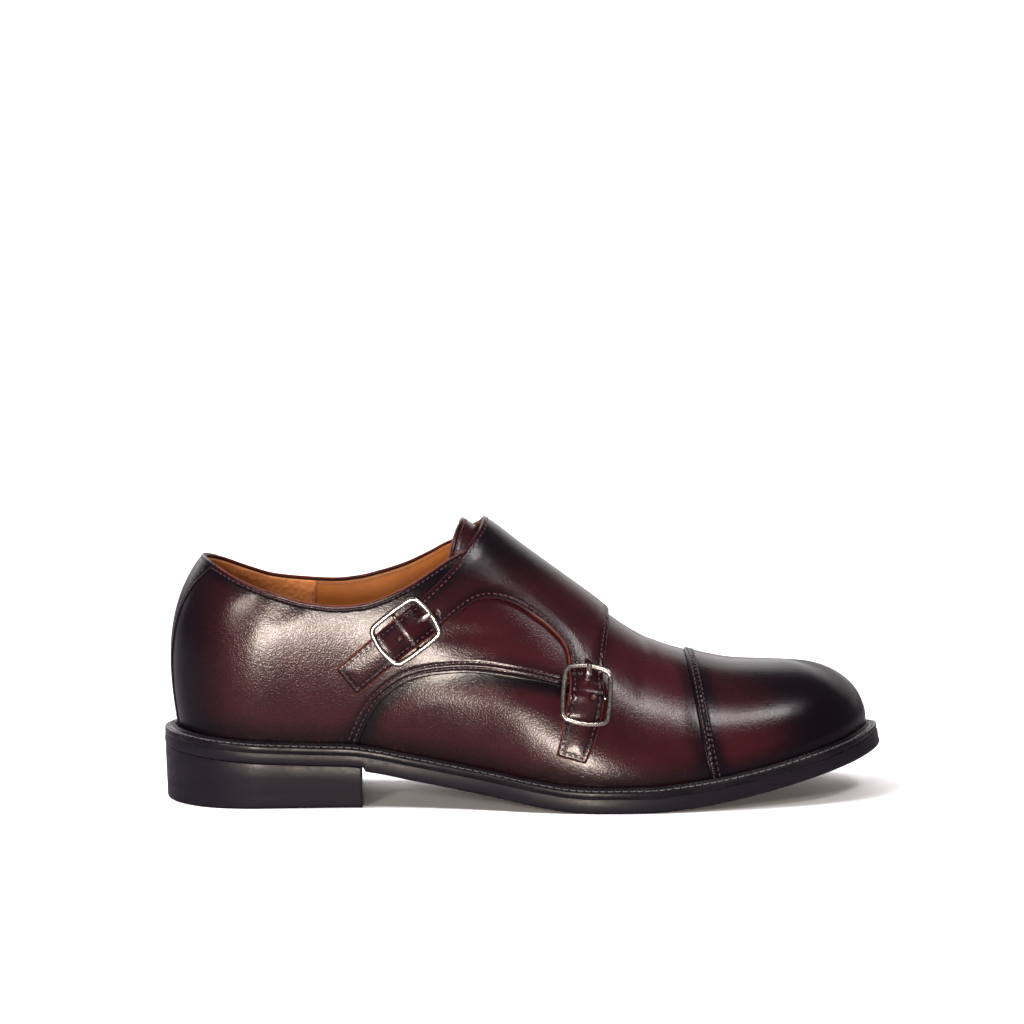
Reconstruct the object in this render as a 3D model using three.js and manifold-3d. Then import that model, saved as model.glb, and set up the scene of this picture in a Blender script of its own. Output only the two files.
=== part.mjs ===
// A right monk strap shoe with a toe cap, two buckled straps and a stitched welt.
// Millimetres. +X points to the toe, -Y to the outer (lateral) side, +Z up.
// The floor is z = 0 and the origin is under the middle of the shoe.
import * as THREE from 'three';
import { mergeVertices } from 'three/addons/utils/BufferGeometryUtils.js';
import Module from 'manifold-3d';

const wasm = await Module();
wasm.setup();

// ---------------------------------------------------------------- driving sizes
const GAP = 0.3; // clearance between two pieces that meet
const FLAP_GAP = 0.5; // the same, under the strap flap
const WALL = 2.2; // upper: outer leather, stiffener and lining together
const LEDGE = 6.0; // width of the welt outside the upper
const WELT_THICK = 3.0;
const EDGE_THICK = 9.0; // welt and outsole together, ahead of the heel
const SEAT_THICK = 7.4; // welt and outsole together, over the heel
const SOLE_CHAMFER = 0.8;
const TOE_FLARE = 1.4; // the sole's edge leans forward where the toe springs up
const HEEL_BREAST = -68.5; // x of the front face of the heel
const HEEL_TAPER = 0.9;
const INSOLE_THICK = 2.5;
const CAP_THICK = 0.9;
const CAP_GAP = 0.35; // the cap has the upper's own stations, so it can lie closer
const FLAP_THICK = 1.8;
const TONGUE_THICK = 2.0;
const TONGUE_GAP = 1.0; // under the upper
const THROAT_END = 20; // x on the crest where the slot under the strap flap closes
const THROAT_DEPTH = 7; // how far below the crest the slot's edges lie

const LATERAL = -1;
const MEDIAL = 1;
const SIDES = [LATERAL, MEDIAL];

// Sections of the last, heel back to toe tip, one row for each rib. Foot points are on
// the outline of the sole. A rib is a cubic curve from the foot up to the crest:
// "swell" leans it out over the foot, "rise" is how far it climbs before it turns in,
// "spread" is how far the crest runs level before it turns down, and "drop" lowers
// that second handle where the leg opening cuts the crest away.
const LAST_COLUMNS = [
  'latX', 'latY', 'medX', 'medY', 'crestX', 'crestY', 'crestZ',
  'latSwell', 'latRise', 'latSpread', 'medSwell', 'medRise', 'medSpread', 'drop',
];
const LAST_ROWS = [
  [-150.0, 0.0, -150.0, 0.0, -100, 0.0, 128.0, 8.0, 45, 46, 8.0, 45, 46, 26],
  [-145.5, -16.7, -145.5, 16.7, -100, 0.0, 128.0, 7.5, 45, 43, 7.5, 45, 43, 25],
  [-133.2, -28.9, -133.2, 28.9, -100, 0.0, 128.0, 6.5, 44, 37, 6.5, 44, 37, 23],
  [-116.5, -33.3, -116.5, 33.3, -99, 0.0, 128.0, 6.0, 42, 32, 6.0, 42, 32, 19],
  [-95.0, -33.2, -95.0, 32.4, -92, 0.0, 128.0, 6.0, 42, 30, 8.0, 42, 30, 14],
  [-72.0, -33.3, -72.0, 30.6, -71, 0.5, 130.0, 6.0, 42, 30, 12.0, 42, 30, 11],
  [-48.0, -35.6, -49.0, 28.6, -47, 1.5, 131.0, 7.0, 44, 27, 15.0, 44, 28, 6],
  [-24.0, -40.2, -26.0, 28.8, -23, 2.5, 117.6, 7.0, 42, 21, 14.0, 44, 21, 0],
  [0.0, -46.8, -2.0, 32.6, -1, 3.0, 101.0, 6.0, 35, 20, 10.0, 38, 19, 0],
  [24.0, -51.0, 22.0, 41.6, 22, 3.5, 84.1, 5.0, 26, 21, 6.0, 28, 21, 0],
  [46.0, -51.4, 47.0, 49.9, 45, 4.0, 67.4, 4.0, 20, 24, 4.0, 22, 24, 0],
  [67.0, -48.6, 71.0, 51.4, 66, 4.5, 58.7, 4.0, 16, 26, 4.0, 18, 27, 0],
  [87.0, -43.6, 93.0, 48.6, 83, 5.0, 54.2, 3.6, 15, 26, 3.6, 16, 27, 0],
  [106.0, -37.9, 111.5, 43.8, 95, 5.5, 53.3, 3.2, 15, 24, 3.2, 15, 25, 0],
  [122.5, -30.4, 127.8, 36.4, 102, 6.0, 53.0, 2.8, 15, 23, 2.8, 15, 23, 0],
  [136.0, -19.6, 139.8, 26.0, 107, 6.0, 52.9, 2.4, 14, 22, 2.4, 14, 22, 0],
  [145.2, -5.6, 146.9, 14.6, 109, 6.0, 52.8, 2.2, 14, 21, 2.2, 14, 21, 0],
  [148.6, 6.0, 148.6, 6.0, 110, 6.0, 52.8, 2.2, 14, 21, 2.2, 14, 21, 0],
];
// Height of the welt's top edge above the floor: heel seat, arch, ball and toe spring.
const EDGE_ROWS = [
  [-150, 29.7], [-130, 27.8], [-110, 26.3], [-88, 25.3], [-74, 24.8], [-62, 23.2], [-50, 20.9],
  [-32, 17.7], [-14, 14.5], [4, 11.2], [16, 9.5], [26, 9.0], [48, 9.0], [60, 9.9], [74, 11.4],
  [88, 13.5], [102, 16.3], [118, 19.9], [134, 23.6], [152, 27.8],
];
// Height of the collar along x, on each side.
const TOPLINE_ROWS = {
  [LATERAL]: [
    [-140, 106.5], [-134, 101.8], [-125, 97.2], [-117, 93.2], [-104, 88.4], [-91, 84.8],
    [-78, 83.2], [-68, 84.0], [-61, 86.0], [-49, 91.4], [-39, 97.4], [-30, 102.6],
    [-22, 105.5], [-10, 106.0],
  ],
  [MEDIAL]: [
    [-140, 106.5], [-134, 101.8], [-125, 97.6], [-117, 94.0], [-104, 89.6], [-91, 88.0],
    [-78, 87.2], [-68, 88.2], [-61, 89.9], [-49, 93.8], [-39, 98.8], [-30, 104.0],
    [-22, 106.5], [-10, 107.0],
  ],
};

// ---------------------------------------------------------------- interpolation
const COLUMN = Object.fromEntries(LAST_COLUMNS.map((name, index) => [name, index]));
const LAST_SECTION = LAST_ROWS.length - 1;

/** Swaps the two sides of a row, which continues the table past its first or last row. */
function mirrored(row) {
  const copy = [...row];
  for (const [a, b] of [['latX', 'medX'], ['latY', 'medY'], ['latSwell', 'medSwell'],
    ['latRise', 'medRise'], ['latSpread', 'medSpread']]) {
    copy[COLUMN[a]] = row[COLUMN[b]];
    copy[COLUMN[b]] = row[COLUMN[a]];
  }
  return copy;
}
const SECTIONS = [mirrored(LAST_ROWS[1]), ...LAST_ROWS, mirrored(LAST_ROWS[LAST_SECTION - 1])];

/** All columns of the last at s, 0 at the heel back and 1 at the toe tip (Catmull-Rom). */
function sectionAt(s) {
  const place = THREE.MathUtils.clamp(s, 0, 1) * LAST_SECTION;
  const index = Math.min(Math.floor(place), LAST_SECTION - 1);
  const f = place - index;
  const [p0, p1, p2, p3] = SECTIONS.slice(index, index + 4);
  return p1.map((value, k) => 0.5 * (2 * value + (p2[k] - p0[k]) * f
    + (2 * p0[k] - 5 * value + 4 * p2[k] - p3[k]) * f * f
    + (3 * value - p0[k] - 3 * p2[k] + p3[k]) * f * f * f));
}

/** Curve y(x) through rows of [x, y] that never overshoots a row (monotone cubic). */
function monotone(rows) {
  const steps = rows.slice(1).map(([x, y], i) => [x - rows[i][0], (y - rows[i][1]) / (x - rows[i][0])]);
  const slopes = rows.map((_, i) => {
    if (i === 0) return steps[0][1];
    if (i === rows.length - 1) return steps[i - 1][1];
    const [[h0, d0], [h1, d1]] = [steps[i - 1], steps[i]];
    if (d0 * d1 <= 0) return 0;
    return (3 * (h0 + h1)) / ((2 * h1 + h0) / d0 + (2 * h0 + h1) / d1);
  });
  return (x) => {
    const at = THREE.MathUtils.clamp(x, rows[0][0], rows[rows.length - 1][0]);
    const found = rows.findIndex(([start]) => start > at);
    const i = (found < 0 ? rows.length - 1 : found) - 1;
    const [h] = steps[i];
    const t = (at - rows[i][0]) / h;
    const u = 1 - t;
    return rows[i][1] * (1 + 2 * t) * u * u + rows[i + 1][1] * t * t * (3 - 2 * t)
      + h * (slopes[i] * t * u * u - slopes[i + 1] * t * t * u);
  };
}
const edgeHeight = monotone(EDGE_ROWS);
const toplineHeight = Object.fromEntries(SIDES.map((side) => [side, monotone(TOPLINE_ROWS[side])]));

/** Point of the sole's outline at s, past the ends too, where it runs on round the other side. */
function footPoint(s, side) {
  const past = s < 0 || s > 1;
  const row = sectionAt(s < 0 ? -s : s > 1 ? 2 - s : s);
  const lateral = (side === LATERAL) !== past;
  return lateral ? [row[COLUMN.latX], row[COLUMN.latY]] : [row[COLUMN.medX], row[COLUMN.medY]];
}

/** Outline point moved inwards by inset, with its outward normal. */
function outline(s, side, inset = 0) {
  const step = 1e-4;
  const [x, y] = footPoint(s, side);
  const [xa, ya] = footPoint(s - step, side);
  const [xb, yb] = footPoint(s + step, side);
  const length = Math.hypot(xb - xa, yb - ya);
  const nx = (-(yb - ya) / length) * side;
  const ny = ((xb - xa) / length) * side;
  return { x: x - nx * inset, y: y - ny * inset, nx, ny };
}

/** The last's own surface: rib s of one side, v = 0 at the foot and 1 on the crest. */
function rib(s, side, v) {
  const row = sectionAt(s);
  const foot = outline(s, side, LEDGE);
  const before = sectionAt(s - 1e-3);
  const after = sectionAt(s + 1e-3);
  const run = after[COLUMN.crestX] - before[COLUMN.crestX];
  const climb = after[COLUMN.crestZ] - before[COLUMN.crestZ];
  const slope = Math.abs(run) < 1e-6 ? 0 : THREE.MathUtils.clamp(climb / run, -1, 0.2);
  const [swell, rise, spread] = (side === LATERAL
    ? ['latSwell', 'latRise', 'latSpread'] : ['medSwell', 'medRise', 'medSpread'])
    .map((name) => row[COLUMN[name]]);
  const p0 = new THREE.Vector3(foot.x, foot.y, edgeHeight(foot.x));
  const p3 = new THREE.Vector3(row[COLUMN.crestX], row[COLUMN.crestY], row[COLUMN.crestZ]);
  const out = new THREE.Vector2(p0.x - p3.x, p0.y - p3.y).normalize();
  const p1 = new THREE.Vector3(p0.x + foot.nx * swell, p0.y + foot.ny * swell, p0.z + rise);
  const p2 = new THREE.Vector3(
    p3.x + out.x * spread, p3.y + out.y * spread, p3.z + out.x * spread * slope - row[COLUMN.drop]);
  return new THREE.CubicBezierCurve3(p0, p1, p2, p3).getPoint(v);
}

/** How far up rib s the upper reaches: to the collar, to the throat's edge, or to the crest. */
function ribEnd(s, side) {
  const row = sectionAt(s);
  if (row[COLUMN.crestX] > THROAT_END) return 1;
  const throat = row[COLUMN.crestX] > -60 ? row[COLUMN.crestZ] - THROAT_DEPTH : Infinity;
  let [low, high] = [0, 1];
  for (let k = 0; k < 30; k += 1) {
    const v = (low + high) / 2;
    const point = rib(s, side, v);
    if (point.z > Math.min(toplineHeight[side](point.x), throat)) high = v;
    else low = v;
  }
  return low;
}

// ---------------------------------------------------------------- mesh helpers
const range = (from, to, count) => Array.from({ length: count + 1 },
  (_, k) => from + ((to - from) * k) / count);

// Stations of every piece that runs the whole length: the table's rows sit closer together
// round the heel and the toe, so even steps of s do too.
const STATIONS = range(0, 1, 40);

/** One indexed geometry from grids of points, each wound so that its faces look outwards. */
function sheet(grids) {
  const corners = [];
  for (const { points, flip } of grids) {
    for (let i = 0; i + 1 < points.length; i += 1) {
      for (let j = 0; j + 1 < points[i].length; j += 1) {
        const [a, b, c, d] = [points[i][j], points[i + 1][j], points[i + 1][j + 1], points[i][j + 1]];
        corners.push(...(flip ? [a, c, b, a, d, c] : [a, b, c, a, c, d]));
      }
    }
  }
  const soup = new THREE.BufferGeometry().setFromPoints(corners);
  const merged = mergeVertices(soup, 1e-3);
  const index = merged.index.array;
  const kept = [];
  for (let k = 0; k < index.length; k += 3) {
    const [a, b, c] = [index[k], index[k + 1], index[k + 2]];
    if (a !== b && b !== c && a !== c) kept.push(a, b, c);
  }
  merged.setIndex(kept);
  return merged;
}

/** Gives an open sheet two faces: offsets are distances along the normal, and may vary. */
function thicken(open, outerOffset, innerOffset) {
  open.computeVertexNormals();
  const place = open.attributes.position;
  const normal = open.attributes.normal;
  const count = place.count;
  const points = [];
  for (const offset of [outerOffset, innerOffset]) {
    for (let k = 0; k < count; k += 1) {
      const point = new THREE.Vector3().fromBufferAttribute(place, k);
      const along = new THREE.Vector3().fromBufferAttribute(normal, k);
      const distance = typeof offset === 'function' ? offset(point) : offset;
      points.push(point.addScaledVector(along, distance));
    }
  }
  const source = open.index.array;
  const index = [...source];
  const edges = new Map();
  for (let k = 0; k < source.length; k += 3) {
    const corner = [source[k], source[k + 1], source[k + 2]];
    index.push(corner[0] + count, corner[2] + count, corner[1] + count);
    corner.forEach((a, m) => edges.set(`${a},${corner[(m + 1) % 3]}`, [a, corner[(m + 1) % 3]]));
  }
  for (const [a, b] of edges.values()) {
    if (!edges.has(`${b},${a}`)) {
      index.push(b, a, a + count, b, a + count, b + count);
    }
  }
  const shell = new THREE.BufferGeometry().setFromPoints(points);
  shell.setIndex(index);
  return shell;
}

/**
 * Solid with the sole's plan shape: rings of { inset(s), height(x) } from the underside
 * outwards and up to the top face. A frontX closes it with a flat face across.
 */
function slab(columns, rings, frontX = Infinity) {
  const across = 2;
  const last = columns[columns.length - 1];
  const ringPoint = ({ inset, height }, s, side) => {
    const point = outline(s, side, inset(s));
    const x = s === last && frontX < Infinity ? frontX : Math.min(point.x, frontX);
    return new THREE.Vector3(x, point.y, height(x));
  };
  const strip = (ring, s) => range(0, 1, across).map((f) => {
    const point = ringPoint(ring, s, LATERAL).lerp(ringPoint(ring, s, MEDIAL), f);
    point.z = ring.height(point.x);
    return point;
  });
  const grids = [
    { points: columns.map((s) => strip(rings[0], s)), flip: true },
    { points: columns.map((s) => strip(rings[rings.length - 1], s)), flip: false },
  ];
  for (const side of SIDES) {
    grids.push({ points: columns.map((s) => rings.map((ring) => ringPoint(ring, s, side))),
      flip: side === MEDIAL });
  }
  if (frontX < Infinity) {
    grids.push({ points: rings.map((ring) => strip(ring, last)), flip: true });
  }
  return sheet(grids);
}

/** manifold-3d solid of a closed geometry, and back. */
function toSolid(geometry) {
  return new wasm.Manifold(new wasm.Mesh({
    numProp: 3,
    vertProperties: new Float32Array(geometry.attributes.position.array),
    triVerts: new Uint32Array(geometry.index.array),
  }));
}
function fromSolid(solid) {
  const mesh = solid.getMesh();
  const geometry = new THREE.BufferGeometry();
  geometry.setAttribute('position', new THREE.BufferAttribute(new Float32Array(mesh.vertProperties), 3));
  geometry.setIndex([...mesh.triVerts]);
  return geometry;
}

/** Positions only, with shared corners welded. */
function bare(geometry) {
  const plain = geometry.clone();
  plain.deleteAttribute('normal');
  plain.deleteAttribute('uv');
  return mergeVertices(plain, 1e-4);
}

// ---------------------------------------------------------------- upper, on the last
const UPPER_STEPS = 9; // faces up each rib

/** Vamp and quarters: ribs up to the collar or the crest, with a skirt down beside the welt. */
function makeUpper() {
  const grids = SIDES.map((side) => ({
    flip: side === MEDIAL,
    points: STATIONS.map((s) => {
      const end = ribEnd(s, side);
      const skirt = rib(s, side, 0);
      skirt.z -= WELT_THICK - GAP;
      return [skirt, ...range(0, 1, UPPER_STEPS).map((f) => rib(s, side, f * end))];
    }),
  }));
  return thicken(sheet(grids), 0, -WALL);
}

const CAP_SEAM = { foot: 0.672, crest: 0.649 }; // s of the cap's rear edge
const CAP_LOW = 0.068; // the cap's lower edge stays above the welt's bead

/** s of the cap's rear edge at v on the rib, so that the edge crosses the crest without a corner. */
const capSeam = (v) => THREE.MathUtils.lerp(CAP_SEAM.crest, CAP_SEAM.foot, (1 - v) ** 2);

/** Toe cap: the front of the same surface, on the upper's own stations, standing proud of it. */
function makeToeCap() {
  const ahead = STATIONS.filter((s) => s > CAP_SEAM.foot);
  const heights = [CAP_LOW, ...range(0, 1, UPPER_STEPS).slice(1)];
  const grids = SIDES.map((side) => ({
    flip: side === MEDIAL,
    points: [
      heights.map((v) => rib(capSeam(v), side, v)),
      ...ahead.map((s) => heights.map((v) => rib(s, side, v))),
    ],
  }));
  return thicken(sheet(grids), CAP_GAP + CAP_THICK, CAP_GAP);
}

const TONGUE_TOP = 0.42; // s of the tongue's top edge on the crest
const TONGUE_SLANT = { [LATERAL]: 0.08, [MEDIAL]: 0 }; // how far that edge runs back down each side
const TONGUE_FRONT = 0.49;
const TONGUE_REACH = 0.42; // share of a rib that the tongue covers, from the crest down

/** Tongue: a sheet just inside the upper, from under the vamp to above the collar. */
function makeTongue() {
  const grids = SIDES.map((side) => ({
    flip: side === MEDIAL,
    points: range(0, 1, 7).map((f) => range(1 - TONGUE_REACH, 1, 6).map((v) => {
      const back = TONGUE_TOP - TONGUE_SLANT[side] * (1 - v);
      return rib(THREE.MathUtils.lerp(back, TONGUE_FRONT, f), side, v);
    })),
  }));
  const outer = -(WALL + TONGUE_GAP);
  return thicken(sheet(grids), outer, outer - TONGUE_THICK);
}

// ---------------------------------------------------------------- buckles and straps
// Places on the outer side, seen square on from -Y: x and z of the middle of the frame,
// and the strap's slope there, in degrees from the +X direction up along the strap.
const BUCKLES = [
  { name: 'rear', x: -50.6, z: 72.6, slope: 37 },
  { name: 'front', x: 22.5, z: 45.7, slope: 82 },
];
const FRAME_LENGTH = 27; // outside, along the strap
const FRAME_WIDTH = 21.5; // outside, across the strap
const FRAME_CORNER = 4.6;
const FRAME_BOW = 1.3; // how far the short sides bow outwards
const WIRE_RADIUS = 1.05;
const WIRE_SIDES = 7;
const BAR_RADIUS = 0.75;
const PRONG_RADIUS = 0.85;
const FRAME_LIFT = 3.6; // middle of the wire above the quarter's surface
const BAR_LIFT = 1.9;
const STRAP_HUMP = 3.6; // how far the strap lifts to pass over the centre bar
const HUMP_REACH = 10;

/** Finds the rib and the height on it that show at x, z from the side, by two nested halvings. */
function locate(x, z, side) {
  let [low, high] = [0, 1];
  let s = 0;
  for (let k = 0; k < 22; k += 1) {
    const v = (low + high) / 2;
    let [back, front] = [0, 1];
    for (let m = 0; m < 22; m += 1) {
      s = (back + front) / 2;
      if (rib(s, side, v).x > x) front = s;
      else back = s;
    }
    if (rib(s, side, v).z > z) high = v;
    else low = v;
  }
  return { s, v: low };
}

/** Local axes of a buckle: along the strap and up it, across it, and out of the leather. */
function buckleFrame({ x, z, slope }) {
  const { s, v } = locate(x, z, LATERAL);
  const step = 0.004;
  const centre = rib(s, LATERAL, v);
  const alongS = rib(s + step, LATERAL, v).sub(rib(s - step, LATERAL, v));
  const alongV = rib(s, LATERAL, v + step).sub(rib(s, LATERAL, v - step));
  const out = alongS.cross(alongV).normalize();
  if (out.y > 0) out.negate();
  const angle = THREE.MathUtils.degToRad(slope);
  const up = new THREE.Vector3(Math.cos(angle), 0, Math.sin(angle));
  up.addScaledVector(out, -up.dot(out)).normalize();
  const across = new THREE.Vector3().crossVectors(out, up);
  return new THREE.Matrix4().makeBasis(up, across, out).setPosition(centre);
}
const BUCKLE_PLACES = BUCKLES.map((buckle) => ({ ...buckle, matrix: buckleFrame(buckle) }));

/** A round wire along a path. Closed paths join up, and open ones have flat ends. */
function wire(path, radius, steps) {
  const section = new THREE.Shape(range(0, 2 * Math.PI, WIRE_SIDES).slice(1)
    .map((angle) => new THREE.Vector2(radius * Math.cos(angle), radius * Math.sin(angle))));
  return bare(new THREE.ExtrudeGeometry(section, { steps, bevelEnabled: false, extrudePath: path }));
}

/** Middle line of the frame: a rounded rectangle with bowed short sides. */
function framePath() {
  const halfLength = FRAME_LENGTH / 2 - WIRE_RADIUS - FRAME_BOW;
  const halfWidth = FRAME_WIDTH / 2 - WIRE_RADIUS;
  const points = [];
  const corner = FRAME_CORNER - WIRE_RADIUS;
  for (const [signX, signY, start] of [[1, 1, 0], [-1, 1, 90], [-1, -1, 180], [1, -1, 270]]) {
    for (const turn of range(0, 90, 3)) {
      const angle = THREE.MathUtils.degToRad(start + turn);
      points.push([
        signX * (halfLength - corner) + corner * Math.cos(angle),
        signY * (halfWidth - corner) + corner * Math.sin(angle),
      ]);
    }
  }
  const bowed = points.map(([u, w]) => new THREE.Vector3(
    u + Math.sign(u) * FRAME_BOW * (1 - (w / halfWidth) ** 2), w, 0));
  return new THREE.CatmullRomCurve3(bowed, true, 'centripetal');
}

/** Buckle frame with its centre bar, in place over the strap. */
function makeBuckle({ matrix }) {
  const ring = wire(framePath(), WIRE_RADIUS, 36);
  ring.translate(0, 0, FRAME_LIFT);
  const reach = FRAME_WIDTH / 2 - WIRE_RADIUS;
  const bar = wire(new THREE.CatmullRomCurve3([
    new THREE.Vector3(0, -reach, FRAME_LIFT - 0.6),
    new THREE.Vector3(0, -reach + 1.6, BAR_LIFT),
    new THREE.Vector3(0, 0, BAR_LIFT),
    new THREE.Vector3(0, reach - 1.6, BAR_LIFT),
    new THREE.Vector3(0, reach, FRAME_LIFT - 0.6),
  ]), BAR_RADIUS, 6);
  const joined = fromSolid(toSolid(ring).add(toSolid(bar)));
  return joined.applyMatrix4(matrix);
}

/** Prong: up from beside the centre bar, through the strap, to rest on the upper bar. */
function prongShape(radius) {
  const onBar = FRAME_LIFT + WIRE_RADIUS + PRONG_RADIUS + GAP;
  const path = new THREE.CatmullRomCurve3([
    new THREE.Vector3(2.1, 0, BAR_LIFT - 0.1),
    new THREE.Vector3(4.6, 0, BAR_LIFT + 0.9),
    new THREE.Vector3(8.4, 0, onBar - 1.1),
    new THREE.Vector3(FRAME_LENGTH / 2 - 2 * WIRE_RADIUS, 0, onBar),
    new THREE.Vector3(FRAME_LENGTH / 2 - 0.3, 0, onBar),
  ]);
  return wire(path, radius, 10);
}
const makeProng = ({ matrix }) => prongShape(PRONG_RADIUS).applyMatrix4(matrix);

/** Height of the strap over the quarter: it lifts over each centre bar. */
function strapLift(point) {
  let lift = FLAP_GAP;
  for (const { matrix } of BUCKLE_PLACES) {
    const local = point.clone().applyMatrix4(matrix.clone().invert());
    const along = Math.abs(local.x) / HUMP_REACH;
    if (along < 1 && Math.abs(local.y) < FRAME_WIDTH && Math.abs(local.z) < 12) {
      lift += STRAP_HUMP * (0.5 + 0.5 * Math.cos(Math.PI * along));
    }
  }
  return lift;
}

// Outline of the strap flap on each side, as x and z seen square on, in order round the
// piece: back edge, rear strap, arch, front strap and front edge. It runs on above the
// crest, where the two sides meet.
const FLAP_TOP = 135;
const FLAP_LATERAL = [
  [-12, FLAP_TOP], [-16.2, 118], [-18.2, 113.6], [-21.4, 109.8], [-28.3, 101.2], [-35.2, 94.3],
  [-43.8, 86.6], [-62.0, 72.4], [-79.1, 57.4], [-71.0, 46.4], [-54.0, 60.6], [-35.6, 74.7],
  [-31.9, 78.0], [-27.2, 81.4], [-24.0, 83.6], [-20.4, 85.2], [-15.4, 85.7], [-10.8, 85.1],
  [-6.2, 83.6], [-1.9, 81.3], [2.3, 78.5], [6.7, 75.4], [10.7, 71.8], [13.6, 68.7], [15.6, 65.6],
  [16.7, 59.4], [13.3, 36.2], [10.0, 23.4], [22.2, 20.2], [27.8, 34.0], [30.6, 56.2],
  [32.9, 67.2], [33.8, 70.2], [34.6, 74.2], [35.5, 78], [39, 100], [39, FLAP_TOP],
];
const FLAP_MEDIAL = [
  [-12, FLAP_TOP], [-16.2, 118], [-18.2, 113.6], [-22.4, 110.4], [-29.5, 103.8], [-36.5, 98.4],
  [-38.5, 94.0], [-36.5, 88.5], [-30.0, 84.0], [-18.0, 80.0], [-4.0, 74.0], [8.0, 66.5],
  [16.0, 60.5], [22.0, 58.0], [27.0, 58.2], [30.5, 61.0], [32.5, 65.5], [33.8, 70.2],
  [34.6, 74.2], [35.5, 78], [39, 100], [39, FLAP_TOP],
];

/** Prism of a side outline between two y planes. */
function sidePrism(points, yFrom, yTo) {
  const shape = new THREE.Shape(points.map(([x, z]) => new THREE.Vector2(x, z)));
  const prism = new THREE.ExtrudeGeometry(shape, { depth: yTo - yFrom, bevelEnabled: false });
  prism.rotateX(Math.PI / 2);
  prism.translate(0, yTo, 0);
  return toSolid(bare(prism));
}

/** Strap flap: a layer over the instep, cut to the flap's outline, with a hole for each prong. */
function makeFlap() {
  const split = 2.8; // y of the crest under the flap
  const seam = 0.05; // the two sides' prisms overlap by this much, so that they join
  const grids = SIDES.map((side) => ({
    flip: side === MEDIAL,
    points: range(0.262, 0.586, 28).map((s) => range(side === LATERAL ? 0.07 : 0.36, 1,
      side === LATERAL ? 15 : 7).map((v) => rib(s, side, v))),
  }));
  const layer = toSolid(thicken(sheet(grids), (p) => strapLift(p) + FLAP_THICK, strapLift));
  const cutter = sidePrism(FLAP_LATERAL, -90, split + seam)
    .add(sidePrism(FLAP_MEDIAL, split - seam, 90));
  let flap = layer.intersect(cutter);
  for (const { matrix } of BUCKLE_PLACES) {
    flap = flap.subtract(toSolid(prongShape(PRONG_RADIUS + GAP).applyMatrix4(matrix)));
  }
  return fromSolid(flap);
}

// ---------------------------------------------------------------- bottom
const toeFlare = (s) => -TOE_FLARE * THREE.MathUtils.smoothstep(s, 0.72, 1);
const SEAT_STEP = [HEEL_BREAST + GAP, HEEL_BREAST + 1.3]; // x where the outsole gets thicker
const undersideHeight = (x) => edgeHeight(x)
  - THREE.MathUtils.mapLinear(THREE.MathUtils.clamp(x, ...SEAT_STEP), ...SEAT_STEP, SEAT_THICK, EDGE_THICK);

/** Station of the sole's outline at x, on the lateral side. */
function stationAtX(x) {
  let [low, high] = [0, 1];
  for (let k = 0; k < 40; k += 1) {
    const s = (low + high) / 2;
    if (footPoint(s, LATERAL)[0] > x) high = s;
    else low = s;
  }
  return low;
}
const BREAST_STATION = stationAtX(HEEL_BREAST);

/** Outsole: one slab from heel back to toe, thinner over the heel, with its lower edge eased. */
function makeOutsole() {
  const top = (x) => edgeHeight(x) - WELT_THICK - GAP;
  const step = SEAT_STEP.map(stationAtX);
  return slab([...STATIONS, ...step].sort((a, b) => a - b), [
    { inset: (s) => SOLE_CHAMFER + toeFlare(s), height: undersideHeight },
    { inset: toeFlare, height: (x) => undersideHeight(x) + SOLE_CHAMFER },
    { inset: (s) => toeFlare(s) / 3, height: top },
  ]);
}

/** Heel: a block under the seat, a little smaller at the floor, with a flat front face. */
function makeHeel() {
  const top = (x) => edgeHeight(x) - SEAT_THICK - GAP;
  return slab(range(0, BREAST_STATION, 12), [
    { inset: () => HEEL_TAPER + SOLE_CHAMFER, height: () => 0 },
    { inset: () => HEEL_TAPER, height: () => SOLE_CHAMFER },
    { inset: () => 0.1, height: top },
  ], HEEL_BREAST);
}

/** Insole: the floor of the inside, within the upper's wall. */
function makeInsole() {
  const inset = () => LEDGE + WALL + 2 * GAP;
  return slab(STATIONS, [
    { inset, height: (x) => edgeHeight(x) - WELT_THICK + GAP },
    { inset, height: (x) => edgeHeight(x) - WELT_THICK + GAP + INSOLE_THICK },
  ]);
}

// Profile of the welt: how far in from the sole's edge, and height over its top edge.
const WELT_PROFILE = [
  [0, -0.5], [0.5, 0], [3.3, 0], [3.6, 1.8], [4.6, 1.8], [5.0, 0], [LEDGE - GAP, 0],
  [LEDGE - GAP, -WELT_THICK], [0, -WELT_THICK],
];

/** Welt: the rim that is stitched to the sole all the way round, with a raised bead. */
function makeWelt() {
  const grids = SIDES.map((side) => ({
    flip: side === MEDIAL,
    points: STATIONS.map((s) => [...WELT_PROFILE, WELT_PROFILE[0]]
      .map(([inset, lift]) => {
        const point = outline(s, side, inset);
        return new THREE.Vector3(point.x, point.y, edgeHeight(point.x) + lift);
      })),
  }));
  return sheet(grids);
}

const shoe = new THREE.Group();
const leather = (name, color) => new THREE.MeshStandardMaterial({ name, color, roughness: 0.35 });
function addPiece(name, geometry, material) {
  const mesh = new THREE.Mesh(geometry, material);
  mesh.name = name;
  shoe.add(mesh);
}
const rubber = (name, color) => new THREE.MeshStandardMaterial({ name, color, roughness: 0.45 });
addPiece('heel', makeHeel(), rubber('heel_black', 0x2a282c));
addPiece('outsole', makeOutsole(), rubber('sole_black', 0x343238));
addPiece('welt', makeWelt(), rubber('welt_black', 0x151316));
addPiece('insole', makeInsole(), leather('tan', 0x9a5f30));
addPiece('upper', makeUpper(), leather('burgundy', 0x4a1e24));
addPiece('toe_cap', makeToeCap(), leather('burgundy_dark', 0x2a1216));
addPiece('tongue', makeTongue(), leather('tongue', 0x55202a));
addPiece('strap_flap', makeFlap(), leather('flap', 0x50222a));
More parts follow.
